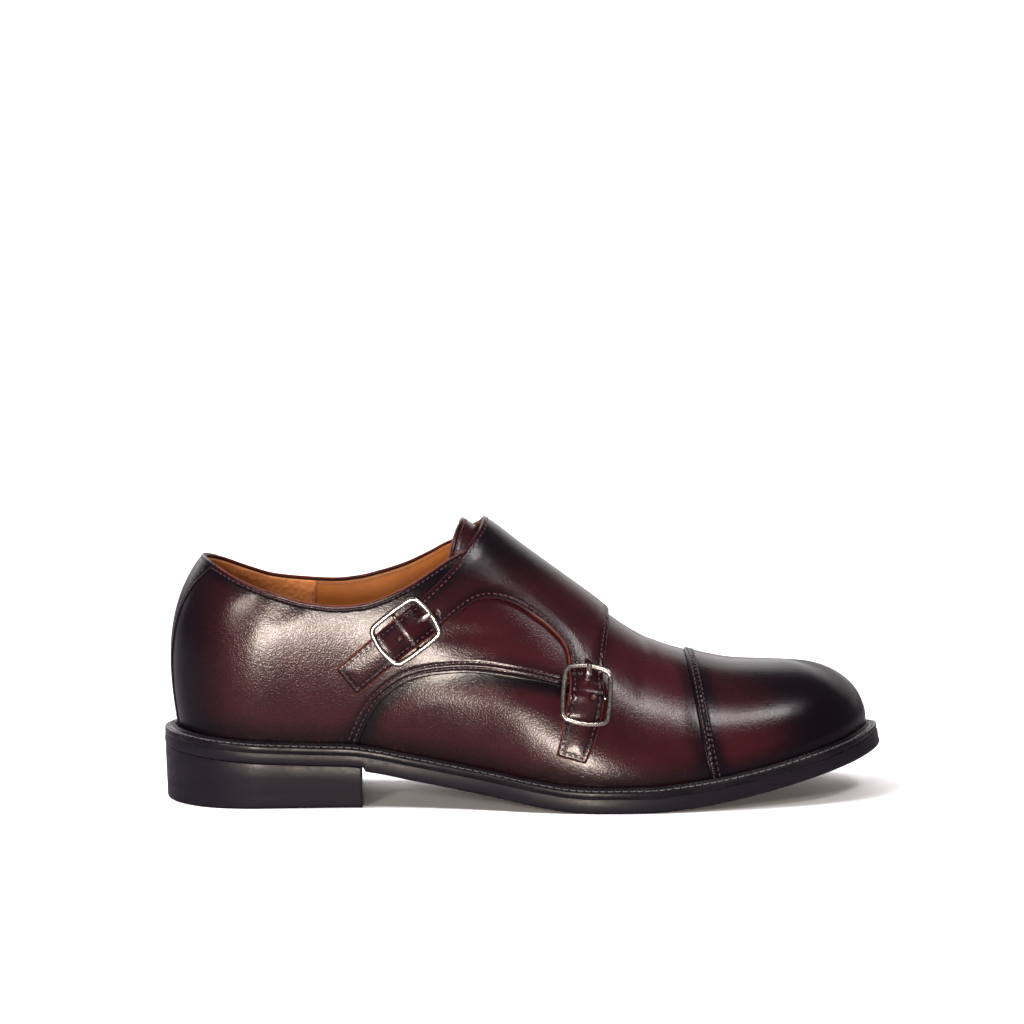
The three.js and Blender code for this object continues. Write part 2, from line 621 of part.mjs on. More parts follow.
for (const place of BUCKLE_PLACES) {
  const steel = new THREE.MeshStandardMaterial({ color: 0xd8cfc4, metalness: 1, roughness: 0.15 });
  addPiece(`${place.name}_buckle`, makeBuckle(place), steel);
  addPiece(`${place.name}_prong`, makeProng(place), steel.clone());
}

export default shoe;
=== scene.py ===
# %% [markdown]
# # A monk strap shoe in polished leather
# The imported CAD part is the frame: a hollow upper on a last, a sole, a heel, a flap with two
# straps, and two buckles. Blender adds what a shoemaker's bench adds: separate pieces of
# leather with rolled and raw edges, rows of stitches, a lining, a ribbed welt and polish.
# Lengths in this lesson are in millimetres until a mesh is made, where MM turns them to metres.

# %% Load the frame
import bpy
import numpy as np
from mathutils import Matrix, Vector


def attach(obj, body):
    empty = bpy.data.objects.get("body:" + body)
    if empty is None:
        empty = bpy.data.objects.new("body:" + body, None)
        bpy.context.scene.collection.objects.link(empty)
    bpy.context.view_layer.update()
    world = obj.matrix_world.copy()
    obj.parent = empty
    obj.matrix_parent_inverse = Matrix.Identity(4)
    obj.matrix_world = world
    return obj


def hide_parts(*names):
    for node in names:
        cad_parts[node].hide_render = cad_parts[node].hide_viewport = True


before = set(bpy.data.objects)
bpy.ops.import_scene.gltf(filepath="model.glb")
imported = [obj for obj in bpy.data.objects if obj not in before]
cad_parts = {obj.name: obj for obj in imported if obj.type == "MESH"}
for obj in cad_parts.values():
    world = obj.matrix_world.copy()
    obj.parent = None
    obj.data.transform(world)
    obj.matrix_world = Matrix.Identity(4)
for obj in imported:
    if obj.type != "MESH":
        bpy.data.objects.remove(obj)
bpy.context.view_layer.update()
MM = 0.001

# %% [markdown]
# ## The last
# A shoe is built round a last, a solid form of the foot. Here the last is a table of sections.
# A section holds a point of the sole's outline on each side, a point on the crest, and how the
# rib between them bulges. It is the same table that the CAD part has, so every leather piece
# made from it lies on the CAD solid.

# %% The last's sections, heel back to toe tip
LAST_COLUMNS = ("lat_x", "lat_y", "med_x", "med_y", "crest_x", "crest_y", "crest_z",
                "lat_swell", "lat_rise", "lat_spread", "med_swell", "med_rise", "med_spread", "drop")
LAST_ROWS = np.array([
    [-150.0, 0.0, -150.0, 0.0, -100, 0.0, 128.0, 8.0, 45, 46, 8.0, 45, 46, 26],
    [-145.5, -16.7, -145.5, 16.7, -100, 0.0, 128.0, 7.5, 45, 43, 7.5, 45, 43, 25],
    [-133.2, -28.9, -133.2, 28.9, -100, 0.0, 128.0, 6.5, 44, 37, 6.5, 44, 37, 23],
    [-116.5, -33.3, -116.5, 33.3, -99, 0.0, 128.0, 6.0, 42, 32, 6.0, 42, 32, 19],
    [-95.0, -33.2, -95.0, 32.4, -92, 0.0, 128.0, 6.0, 42, 30, 8.0, 42, 30, 14],
    [-72.0, -33.3, -72.0, 30.6, -71, 0.5, 130.0, 6.0, 42, 30, 12.0, 42, 30, 11],
    [-48.0, -35.6, -49.0, 28.6, -47, 1.5, 131.0, 7.0, 44, 27, 15.0, 44, 28, 6],
    [-24.0, -40.2, -26.0, 28.8, -23, 2.5, 117.6, 7.0, 42, 21, 14.0, 44, 21, 0],
    [0.0, -46.8, -2.0, 32.6, -1, 3.0, 101.0, 6.0, 35, 20, 10.0, 38, 19, 0],
    [24.0, -51.0, 22.0, 41.6, 22, 3.5, 84.1, 5.0, 26, 21, 6.0, 28, 21, 0],
    [46.0, -51.4, 47.0, 49.9, 45, 4.0, 67.4, 4.0, 20, 24, 4.0, 22, 24, 0],
    [67.0, -48.6, 71.0, 51.4, 66, 4.5, 58.7, 4.0, 16, 26, 4.0, 18, 27, 0],
    [87.0, -43.6, 93.0, 48.6, 83, 5.0, 54.2, 3.6, 15, 26, 3.6, 16, 27, 0],
    [106.0, -37.9, 111.5, 43.8, 95, 5.5, 53.3, 3.2, 15, 24, 3.2, 15, 25, 0],
    [122.5, -30.4, 127.8, 36.4, 102, 6.0, 53.0, 2.8, 15, 23, 2.8, 15, 23, 0],
    [136.0, -19.6, 139.8, 26.0, 107, 6.0, 52.9, 2.4, 14, 22, 2.4, 14, 22, 0],
    [145.2, -5.6, 146.9, 14.6, 109, 6.0, 52.8, 2.2, 14, 21, 2.2, 14, 21, 0],
    [148.6, 6.0, 148.6, 6.0, 110, 6.0, 52.8, 2.2, 14, 21, 2.2, 14, 21, 0],
])
LAST_SECTION = len(LAST_ROWS) - 1
SWAPPED = [2, 3, 0, 1, 4, 5, 6, 10, 11, 12, 7, 8, 9, 13]  # columns with the two sides swapped
SECTIONS = np.vstack([LAST_ROWS[1][SWAPPED], LAST_ROWS, LAST_ROWS[-2][SWAPPED]])
print(len(LAST_ROWS), "sections of", len(LAST_COLUMNS), "columns")

# %% Sizes that the leather pieces share with the CAD part
LEDGE = 6.0  # width of the welt outside the upper
WALL = 2.2  # outer leather and lining together
WELT_THICK = 3.0
EDGE_THICK = 9.0  # welt and outsole together, ahead of the heel
SEAT_THICK = 7.4  # welt and outsole together, over the heel
HEEL_BREAST = -68.5
FLAP_GAP = 0.5
FLAP_THICK = 1.8
CAP_LIFT = 1.25  # how far the toe cap's face stands over the last
THROAT_END = 20
THROAT_DEPTH = 7
EDGE_ROWS = np.array([  # x and height of the welt's top edge
    [-150, 29.7], [-130, 27.8], [-110, 26.3], [-88, 25.3], [-74, 24.8], [-62, 23.2], [-50, 20.9],
    [-32, 17.7], [-14, 14.5], [4, 11.2], [16, 9.5], [26, 9.0], [48, 9.0], [60, 9.9], [74, 11.4],
    [88, 13.5], [102, 16.3], [118, 19.9], [134, 23.6], [152, 27.8]])
LATERAL_TOPLINE = np.array([  # x and height of the collar on the outer side
    [-140, 106.5], [-134, 101.8], [-125, 97.2], [-117, 93.2], [-104, 88.4], [-91, 84.8],
    [-78, 83.2], [-68, 84.0], [-61, 86.0], [-49, 91.4], [-39, 97.4], [-30, 102.6],
    [-22, 105.5], [-10, 106.0]])
MEDIAL_TOPLINE = np.array([
    [-140, 106.5], [-134, 101.8], [-125, 97.6], [-117, 94.0], [-104, 89.6], [-91, 88.0],
    [-78, 87.2], [-68, 88.2], [-61, 89.9], [-49, 93.8], [-39, 98.8], [-30, 104.0],
    [-22, 106.5], [-10, 107.0]])
print("welt edge height at the ball:", EDGE_ROWS[11, 1], "mm")


# %% Curves through a few rows
def monotone(rows):
    """Curve y(x) through rows of x and y that never overshoots a row: a cubic between rows,
    whose slope at a row is the weighted harmonic mean of the slopes on its two sides."""
    x, y = np.asarray(rows, float).T
    h = np.diff(x)
    d = np.diff(y) / h
    rising = d[:-1] * d[1:] > 0
    safe = np.where(rising, d[:-1], 1), np.where(rising, d[1:], 1)
    mean = 3 * (h[:-1] + h[1:]) / ((2 * h[1:] + h[:-1]) / safe[0] + (2 * h[:-1] + h[1:]) / safe[1])
    slope = np.concatenate([[d[0]], np.where(rising, mean, 0), [d[-1]]])

    def curve(at):
        at = np.clip(at, x[0], x[-1])
        k = np.clip(np.searchsorted(x, at, side="right") - 1, 0, len(h) - 1)
        t = (at - x[k]) / h[k]
        u = 1 - t
        return (y[k] * (1 + 2 * t) * u * u + y[k + 1] * t * t * (3 - 2 * t)
                + h[k] * (slope[k] * t * u * u - slope[k + 1] * t * t * u))
    return curve


def smoothstep(value, low, high):
    """0 below low, 1 above high, and 3t^2 - 2t^3 between."""
    t = np.clip((np.asarray(value, float) - low) / (high - low), 0, 1)
    return t * t * (3 - 2 * t)


edge_height = monotone(EDGE_ROWS)
topline = {"lateral": monotone(LATERAL_TOPLINE), "medial": monotone(MEDIAL_TOPLINE)}
print("collar at its lowest:", round(float(topline["lateral"](-78)), 1), "mm")

# %% [markdown]
# ## One sheet over the whole last
# Two numbers name a place on the last. s runs from the heel back, 0, to the toe tip, 1.
# w runs from the outer foot, 0, over the crest, 1, to the inner foot, 2. Past either end the
# sheet runs on round the other side, so slopes can be measured there too. All the functions
# take whole arrays of s and w.

# %% Places on the sheet
SLOPE_STEP = 1e-4


def section_at(s):
    """All columns at s: Catmull-Rom between rows, which passes through every row."""
    place = np.clip(s, 0, 1) * LAST_SECTION
    k = np.minimum(place.astype(int), LAST_SECTION - 1)
    f = (place - k)[..., None]
    a, b, c, d = (SECTIONS[k + step] for step in range(4))
    return 0.5 * (2 * b + (c - a) * f + (2 * a - 5 * b + 4 * c - d) * f ** 2
                  + (3 * b - a - 3 * c + d) * f ** 3)


def wrapped(s, w):
    """The same place named with s between 0 and 1. s repeats every 2: once up one side of the
    shoe and once back down the other."""
    turn = np.mod(s, 2)
    past = turn > 1
    return np.where(past, 2 - turn, turn), np.where(past, 2 - w, w)


def foot_line(s, w):
    """Point of the sole's outline in plan, on the side that w is on."""
    s, w = wrapped(s, w)
    row = section_at(s)
    return np.where((w <= 1)[..., None], row[..., 0:2], row[..., 2:4])


def outline(s, w, inset=0.0):
    """Outline point moved inwards by inset, and the outward normal: the run of the outline
    turned by a quarter, away from the middle."""
    s, w = np.broadcast_arrays(np.asarray(s, float), np.asarray(w, float))
    w = np.where(w == 1, 1 - 1e-9, w)  # the crest belongs to one side, also round the toe tip
    run = foot_line(s + SLOPE_STEP, w) - foot_line(s - SLOPE_STEP, w)
    run = run / np.linalg.norm(run, axis=-1, keepdims=True)
    side = np.where(w <= 1, -1.0, 1.0)[..., None]
    normal = np.stack([-run[..., 1], run[..., 0]], -1) * side
    return foot_line(s, w) - normal * np.asarray(inset, float)[..., None], normal


def on_last(s, w):
    """Point of the last: a cubic curve from the foot, up by rise and out by swell, and then
    level along spread to the crest, lowered by drop where the leg opening cuts it away."""
    s, w = np.broadcast_arrays(np.asarray(s, float), np.asarray(w, float))
    s, w = wrapped(s, w)
    lateral = (w <= 1)[..., None]
    v = np.where(w <= 1, w, 2 - w)[..., None]
    row = section_at(s)
    around = section_at(s + 1e-3) - section_at(s - 1e-3)
    run = around[..., 4]
    steep = np.abs(run) > 1e-6
    slope = np.where(steep, np.clip(around[..., 6] / np.where(steep, run, 1), -1, 0.2), 0)
    swell, rise, spread = np.moveaxis(np.where(lateral, row[..., 7:10], row[..., 10:13]), -1, 0)
    foot, normal = outline(s, w, LEDGE)
    p0 = np.concatenate([foot, edge_height(foot[..., :1])], -1)
    p3 = row[..., 4:7]
    out = p0[..., :2] - p3[..., :2]
    out = out / np.linalg.norm(out, axis=-1, keepdims=True)
    p1 = p0 + np.concatenate([normal * swell[..., None], rise[..., None]], -1)
    turn = (out[..., 0] * spread * slope - row[..., 13])[..., None]
    p2 = p3 + np.concatenate([out * spread[..., None], turn], -1)
    u = 1 - v
    return u ** 3 * p0 + 3 * u * u * v * p1 + 3 * u * v * v * p2 + v ** 3 * p3


def slopes(s, w, step=5e-4):
    """How the surface point moves per unit of s and per unit of w."""
    along = (on_last(s + step, w) - on_last(s - step, w)) / (2 * step)
    up = (on_last(s, w + step) - on_last(s, w - step)) / (2 * step)
    return along, up


def normal_at(s, w):
    """Outward normal: the cross product of the two slopes. At the toe tip's crest, where all
    ribs end, the slope along s is nothing, so the normal is taken just beside that place."""
    s, w = np.broadcast_arrays(np.asarray(s, float), np.asarray(w, float))
    pole = (np.abs(s - 1) < 2e-3) & (np.abs(w - 1) < 2e-3)
    along, up = slopes(s, np.where(pole, 0.99, w))
    across = np.cross(along, up)
    return across / np.linalg.norm(across, axis=-1, keepdims=True)


def reach_of(points):
    """Length run so far at each point of a line."""
    return np.concatenate([[0], np.cumsum(np.linalg.norm(np.diff(points, axis=0), axis=1))])


print("top of the instep:", np.round(on_last(0.42, 1.0), 1).tolist())


# %% Where the upper ends, and what shows at a place in the side view
def collar_v(s, side):
    """Share of each rib up to the collar or the throat's edge, by halving the interval."""
    s = np.asarray(s, float)
    crest = section_at(s)
    throat = np.where(crest[..., 4] > -60, crest[..., 6] - THROAT_DEPTH, np.inf)
    low, high = np.zeros_like(s), np.ones_like(s)
    for _ in range(26):
        middle = (low + high) / 2
        point = on_last(s, middle if side == "lateral" else 2 - middle)
        above = point[..., 2] > np.minimum(topline[side](point[..., 0]), throat)
        low, high = np.where(above, low, middle), np.where(above, middle, high)
    return np.where(crest[..., 4] > THROAT_END, 1.0, low)


def collar_of(s, inner):
    """Share of each rib up to the collar: the inner side's where inner is true."""
    return np.where(inner, collar_v(s, "medial"), collar_v(s, "lateral"))


def lifted(s, w, lift=0.0):
    """Point at a height over the last, along its normal."""
    return on_last(s, w) + normal_at(s, w) * np.asarray(lift, float)[..., None]


def locate(places, side="lateral", lift=0.0):
    """s and w of places given as x and z in the side view: halves w until z fits, and for
    each w halves s until x fits."""
    x, z = np.asarray(places, float).T
    low, high = np.zeros_like(x), np.ones_like(x)
    for _ in range(18):
        v = (low + high) / 2
        w = v if side == "lateral" else 2 - v
        back, front = np.zeros_like(x), np.ones_like(x)
        for _ in range(18):
            s = (back + front) / 2
            ahead = lifted(s, w, lift)[..., 0] > x
            back, front = np.where(ahead, back, s), np.where(ahead, s, front)
        above = lifted(s, w, lift)[..., 2] > z
        low, high = np.where(above, low, v), np.where(above, v, high)
    return np.stack([s, w], -1)


def through(points, spacing):
    """Smooth curve through (s, w) places, with samples about spacing apart. The slope at a place
    is that of the parabola through it and its two neighbours, measured by length over the last,
    so uneven places make no bulge."""
    points = np.asarray(points, float)
    h = np.linalg.norm(np.diff(on_last(*points.T), axis=0), axis=1)[:, None]
    d = np.diff(points, axis=0) / h
    inner = (h[1:] * d[:-1] + h[:-1] * d[1:]) / (h[1:] + h[:-1])
    slope = np.vstack([2 * d[:1] - inner[:1], inner, 2 * d[-1:] - inner[-1:]]) if len(d) > 1 else d[[0, 0]]
    pieces = []
    for k in range(len(h)):
        t = np.linspace(0, 1, max(int(round(h[k, 0] / spacing)), 1), endpoint=False)[:, None]
        u = 1 - t
        pieces.append(points[k] * (1 + 2 * t) * u * u + points[k + 1] * t * t * (3 - 2 * t)
                      + h[k] * (slope[k] * t * u * u - slope[k + 1] * t * t * u))
    return np.vstack([*pieces, points[-1:]])


print("collar at s=0.25:", np.round(collar_v(np.array([0.25]), "lateral"), 3).tolist())

# %% [markdown]
# ## From arrays to pieces
# Every leather piece is a closed shell: a sheet of places on the last, given an outer face and
# an inner face by moving each point along its normal. Making both faces from one sheet keeps
# the wall even and the piece closed. A rolled edge is only a lift that falls away near the
# edge, so it needs no separate mesh.

# %% Mesh helpers
def grid_faces(rows, cols):
    """Four corners of every cell of a grid whose points are numbered row by row."""
    index = np.arange(rows * cols).reshape(rows, cols)
    return np.stack([index[:-1, :-1], index[:-1, 1:], index[1:, 1:], index[1:, :-1]], -1).reshape(-1, 4)


def closed_index(rows, cols, ring=False):
    """Numbers of a grid's points, with the first column again after the last. With ring the
    first row comes again too, so the grid joins up with itself both ways."""
    index = np.arange(rows * cols).reshape(rows, cols)
    index = np.hstack([index, index[:, :1]])
    return np.vstack([index, index[:1]]) if ring else index


def band_faces(index):
    """Four corners of every cell between the rows of such numbers."""
    return np.stack([index[:-1, :-1], index[1:, :-1], index[1:, 1:], index[:-1, 1:]], -1).reshape(-1, 4)


def fan_faces(ring, hub):
    """Triangles from a hub to each stretch of a ring, written as quads with a doubled corner."""
    return np.stack([np.full(len(ring) - 1, hub), ring[:-1], ring[1:], ring[1:]], -1)


def join_doubles(points, faces, grain=2e-3):
    """Gives corners in the same place one number. Rounding finds them."""
    _, first, number = np.unique(np.round(points / grain).astype(np.int64), axis=0,
                                 return_index=True, return_inverse=True)
    return first, number.reshape(-1)[faces]


def edge_loops(faces):
    """Directed edges that only one face has: the sheet's free border."""
    starts = faces.ravel()
    ends = np.roll(faces, -1, axis=1).ravel()
    real = starts != ends
    starts, ends = starts[real], ends[real]
    big = faces.max() + 1
    free = ~np.isin(starts * big + ends, ends * big + starts)
    return starts[free], ends[free]


def make_piece(name, points, faces, materials, slots, stands_for=(), marks=None, kinds=None):
    """Puts arrays into a mesh object in metres that rides on the shoe. A quad with two corners
    in one place becomes a triangle. marks are numbers for each point, and kinds say which
    material each face has. Faces are turned outwards if the volume they hold is negative."""
    a, b, c, d = (points[faces[:, k]] for k in range(4))
    if (np.cross(a, b) * c + np.cross(a, c) * d).sum() < 0:
        faces = faces[:, ::-1]
    mesh = bpy.data.meshes.new(name)
    doubled = faces == np.roll(faces, -1, axis=1)
    kept = doubled.sum(1) < faces.shape[1] - 2
    rows = [[int(v) for v, d in zip(face, twice) if not d] if twice.any() else face.tolist()
            for face, twice in zip(faces[kept], doubled[kept])]
    mesh.from_pydata((points * MM).tolist(), [], rows)
    for material in materials:
        mesh.materials.append(material)
    if kinds is not None:
        mesh.polygons.foreach_set("material_index", kinds[kept].astype(np.int32))
    mesh.polygons.foreach_set("use_smooth", np.ones(len(mesh.polygons), bool))
    for mark, values in (marks or {}).items():
        layer = mesh.attributes.new(mark, "FLOAT", "POINT")
        layer.data.foreach_set("value", np.full(len(points), values, np.float32))
    mesh.validate()
    piece = bpy.data.objects.new(name, mesh)
    bpy.context.scene.collection.objects.link(piece)
    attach(piece, "root")
    if stands_for:
        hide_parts(*stands_for)
    print(f"{name}: {len(points)} points, {len(rows)} faces")
    return piece


def shell(points, normals, faces, outer, inner):
    """Closed shell from a sheet: outer face, inner face turned round, and a rim along the
    border. Returns the points, the faces and how many points one face of the sheet has."""
    count = len(points)
    corners = points[faces[:, [0, 1, 2]]]
    facing = np.cross(corners[:, 1] - corners[:, 0], corners[:, 2] - corners[:, 0])
    if (facing * normals[faces[:, 0]]).sum() < 0:
        faces = faces[:, ::-1]
    starts, ends = edge_loops(faces)
    rim = np.stack([ends, starts, starts + count, ends + count], -1)
    both = np.vstack([points + normals * outer[:, None], points + normals * inner[:, None]])
    return both, np.vstack([faces, faces[:, ::-1] + count, rim]), count


def eased(values, faces, amount, rounds=90):
    """Rounds off small ridges: each point's value moves half way to the mean of its neighbours',
    as far as its amount allows, and the smooth part of what that took away is given back."""
    pairs = np.vstack([faces[:, [k, (k + 1) % 4]] for k in range(4)])
    pairs = np.unique(np.sort(pairs[pairs[:, 0] != pairs[:, 1]], axis=1), axis=0)
    here, there = np.vstack([pairs, pairs[:, ::-1]]).T
    number = np.maximum(np.bincount(here, minlength=len(values)), 1)[:, None]

    def smooth(field):
        for _ in range(rounds):
            total = np.stack([np.bincount(here, field[there, k], len(field)) for k in range(3)], 1)
            field = field + 0.5 * amount[:, None] * (total / number - field)
        return field

    changed = smooth(values) - values
    return values + changed - smooth(changed) * amount[:, None]


def leather_shell(name, s, w, faces, outer, inner, materials, slots, stands_for=(), burnish=0.0,
                  raw=0.0, inner_kind=0, ease=None):
    """A leather piece from places on the last: lifts of its two faces, and two marks for the
    dyes, how burnished and how raw it is. inner_kind is the material of its inner face."""
    points = on_last(s, w)
    first, faces = join_doubles(points, faces)
    pick = [np.broadcast_to(np.asarray(a, float), np.shape(s))[first] for a in (outer, inner)]
    points, normals = points[first], normal_at(s, w)[first]
    if ease is not None:
        points, normals = (eased(field, faces, ease[first]) for field in (points, normals))
        normals = normals / np.linalg.norm(normals, axis=1, keepdims=True)
    both, faces, count = shell(points, normals, faces, *pick)
    kinds = np.zeros(len(faces), int)
    kinds[(faces >= count).sum(1) >= 3] = inner_kind
    marks = {mark: np.tile(np.broadcast_to(values, np.shape(s))[first], 2)
             for mark, values in (("burnish", burnish), ("raw", raw))}
    return make_piece(name, both, faces, materials, slots, stands_for, marks, kinds)


def swept(path, across, up, profile, closed):
    """A profile carried along a path: point = path + across * a + up * b. Gives points and
    faces, with flat ends on an open path."""
    points = (path[:, None] + across[:, None] * profile[None, :, :1]
              + up[:, None] * profile[None, :, 1:]).reshape(-1, 3)
    index = closed_index(len(path), len(profile), closed)
    faces = band_faces(index)
    if not closed:
        faces = np.vstack([faces, fan_faces(index[0], len(points)),
                           fan_faces(index[-1][::-1], len(points) + 1)])
        points = np.vstack([points, path[[0, -1]]])
    return points, faces


def circle(radius, sides):
    """Points round a circle, for a wire's section."""
    angle = np.linspace(0, 2 * np.pi, sides, endpoint=False)
    return radius * np.stack([np.cos(angle), np.sin(angle)], -1)


print("mesh helpers ready")

# %% [markdown]
# ## Dyes, polish and grain
# The shoe is burgundy calf, burnished almost black along its edges and over its toe. Pieces
# carry that burnish as a number at each point, from 0 to 1, so it follows seams exactly.
# The mottling of the dye, the pores and the fine wrinkles are the same effect in every leather,
# so they are node groups, built once and placed in each material with their own values.

# %% Node helpers
def new_group(name, inputs, outputs):
    """An empty node group with named sockets, and its two end nodes."""
    group = bpy.data.node_groups.new(name, "ShaderNodeTree")
    for label, kind, value in inputs:
        socket = group.interface.new_socket(label, in_out="INPUT", socket_type=kind)
        if value is not None:
            socket.default_value = value
    for label, kind in outputs:
        group.interface.new_socket(label, in_out="OUTPUT", socket_type=kind)
    return group, group.nodes.new("NodeGroupInput"), group.nodes.new("NodeGroupOutput")


def add_node(tree, kind, values=None, **settings):
    """A node with its settings, and its input sockets set by number or name or linked."""
    node = tree.nodes.new(kind)
    for key, value in settings.items():
        setattr(node, key, value)
    for key, value in (values or {}).items():
        if isinstance(value, bpy.types.NodeSocket):
            tree.links.new(value, node.inputs[key])
        else:
            node.inputs[key].default_value = value
    return node


def ramp(tree, value, low, high, to_low=0.0, to_high=1.0):
    """Stretches value from low..high to to_low..to_high, with soft ends."""
    return add_node(tree, "ShaderNodeMapRange", {0: value, 1: low, 2: high, 3: to_low, 4: to_high},
                    interpolation_type="SMOOTHSTEP").outputs[0]


def mixed(tree, factor, first, second):
    """Colour between first and second."""
    return add_node(tree, "ShaderNodeMix", {0: factor, 6: first, 7: second}, data_type="RGBA").outputs[2]


def maths(tree, operation, first, second):
    return add_node(tree, "ShaderNodeMath", {0: first, 1: second}, operation=operation).outputs[0]


def noise(tree, place, scale, detail=2.0, roughness=0.5):
    return add_node(tree, "ShaderNodeTexNoise", {"Vector": place, "Scale": scale, "Detail": detail,
                                                 "Roughness": roughness}).outputs["Fac"]


def two_shades(tree, shader, value, low, high, first, second):
    """Base Color between two shades as value goes from low to high."""
    tree.links.new(mixed(tree, ramp(tree, value, low, high), (*first, 1), (*second, 1)),
                   shader.inputs["Base Color"])


def give_bump(tree, shader, height, depth, strength=1.0):
    """Bump from a height, with its depth in millimetres."""
    bump = add_node(tree, "ShaderNodeBump", {"Height": height, "Distance": depth * MM,
                                             "Strength": strength})
    tree.links.new(bump.outputs["Normal"], shader.inputs["Normal"])


print("node helpers ready")

# %% Grain group: pores between small cells, and finer wrinkles
grain, grain_in, grain_out = new_group(
    "leather_grain",
    [("Place", "NodeSocketVector", None), ("Cells per metre", "NodeSocketFloat", 1100.0),
     ("Wrinkles", "NodeSocketFloat", 0.5)],
    [("Height", "NodeSocketFloat"), ("Patches", "NodeSocketFloat")])
cells = add_node(grain, "ShaderNodeTexVoronoi",
                 {"Vector": grain_in.outputs["Place"], "Scale": grain_in.outputs["Cells per metre"]},
                 feature="SMOOTH_F1")
fine = noise(grain, grain_in.outputs["Place"], 2900.0, 3.0, 0.6)
broad = noise(grain, grain_in.outputs["Place"], 240.0, 3.0, 0.55)
wrinkled = maths(grain, "MULTIPLY", maths(grain, "MULTIPLY", fine, broad), grain_in.outputs["Wrinkles"])
pores = ramp(grain, cells.outputs["Distance"], 0.05, 0.7)
grain.links.new(maths(grain, "ADD", maths(grain, "MULTIPLY", pores, -0.6), wrinkled),
                grain_out.inputs["Height"])
grain.links.new(broad, grain_out.inputs["Patches"])
print("grain group:", len(grain.nodes), "nodes")

# %% Dye group: two shades mottled together, burnished dark, with raw leather at cut edges
dye, dye_in, dye_out = new_group(
    "dyed_leather",
    [("Place", "NodeSocketVector", None), ("Shade", "NodeSocketColor", None),
     ("Deep shade", "NodeSocketColor", None), ("Burnish", "NodeSocketColor", None),
     ("Raw", "NodeSocketColor", None), ("Burnish amount", "NodeSocketFloat", 0.0),
     ("Raw amount", "NodeSocketFloat", 0.0)],
    [("Color", "NodeSocketColor")])
clouds = ramp(dye, noise(dye, dye_in.outputs["Place"], 42.0, 4.0, 0.6), 0.32, 0.68)
specks = noise(dye, dye_in.outputs["Place"], 420.0, 3.0, 0.65)
body = mixed(dye, clouds, dye_in.outputs["Shade"], dye_in.outputs["Deep shade"])
ragged = maths(dye, "ADD", dye_in.outputs["Burnish amount"],
               maths(dye, "MULTIPLY", maths(dye, "SUBTRACT", specks, 0.5), 0.35))
dark = ramp(dye, ragged, 0.02, 0.98)
burnished = mixed(dye, dark, body, dye_in.outputs["Burnish"])
torn = ramp(dye, maths(dye, "ADD", dye_in.outputs["Raw amount"],
                       maths(dye, "MULTIPLY", maths(dye, "SUBTRACT", specks, 0.5), 0.8)), 0.45, 0.75)
dye.links.new(mixed(dye, torn, burnished, dye_in.outputs["Raw"]), dye_out.inputs["Color"])
print("dye group:", len(dye.nodes), "nodes")


# %% Leather materials
def new_material(name, metallic=0.0, **sockets):
    """A material with its own Principled shader, whose plain values are set on its sockets."""
    material = bpy.data.materials.new(name)
    material.use_nodes = True
    shader = material.node_tree.nodes["Principled BSDF"]
    shader.inputs["Metallic"].default_value = metallic
    for label, value in sockets.items():
        shader.inputs[label.replace("_", " ")].default_value = value
    place = material.node_tree.nodes.new("ShaderNodeTexCoord").outputs["Object"]
    return material, material.node_tree, shader, place


WAX_ROUGHNESS = 0.18


def polished_leather(name, shade, deep, burnish, raw, rough, cells_per_metre, depth, coat, shine):
    """Dyed and burnished leather under a thin coat of wax. Its roughness wanders a little about
    rough, and raw edges are rougher. depth is the grain's in millimetres."""
    material, tree, shader, place = new_material(name, Coat_Weight=coat, Coat_Roughness=WAX_ROUGHNESS,
                                                 Specular_IOR_Level=shine)
    burnish_mark = add_node(tree, "ShaderNodeAttribute", attribute_name="burnish").outputs["Fac"]
    raw_mark = add_node(tree, "ShaderNodeAttribute", attribute_name="raw").outputs["Fac"]
    colour = add_node(tree, "ShaderNodeGroup", node_tree=dye)
    for label, value in (("Shade", shade), ("Deep shade", deep), ("Burnish", burnish), ("Raw", raw)):
        colour.inputs[label].default_value = (*value, 1)
    tree.links.new(place, colour.inputs["Place"])
    tree.links.new(burnish_mark, colour.inputs["Burnish amount"])
    tree.links.new(raw_mark, colour.inputs["Raw amount"])
    skin = add_node(tree, "ShaderNodeGroup", {"Place": place, "Cells per metre": cells_per_metre,
                                              "Wrinkles": 0.5}, node_tree=grain)
    tree.links.new(colour.outputs["Color"], shader.inputs["Base Color"])
    patchy = maths(tree, "MULTIPLY_ADD", skin.outputs["Patches"], 0.08)
    patchy.node.inputs[2].default_value = rough - 0.04
    tree.links.new(maths(tree, "ADD", patchy, maths(tree, "MULTIPLY", raw_mark, 0.3)),
                   shader.inputs["Roughness"])
    give_bump(tree, shader, skin.outputs["Height"], depth)
    return material


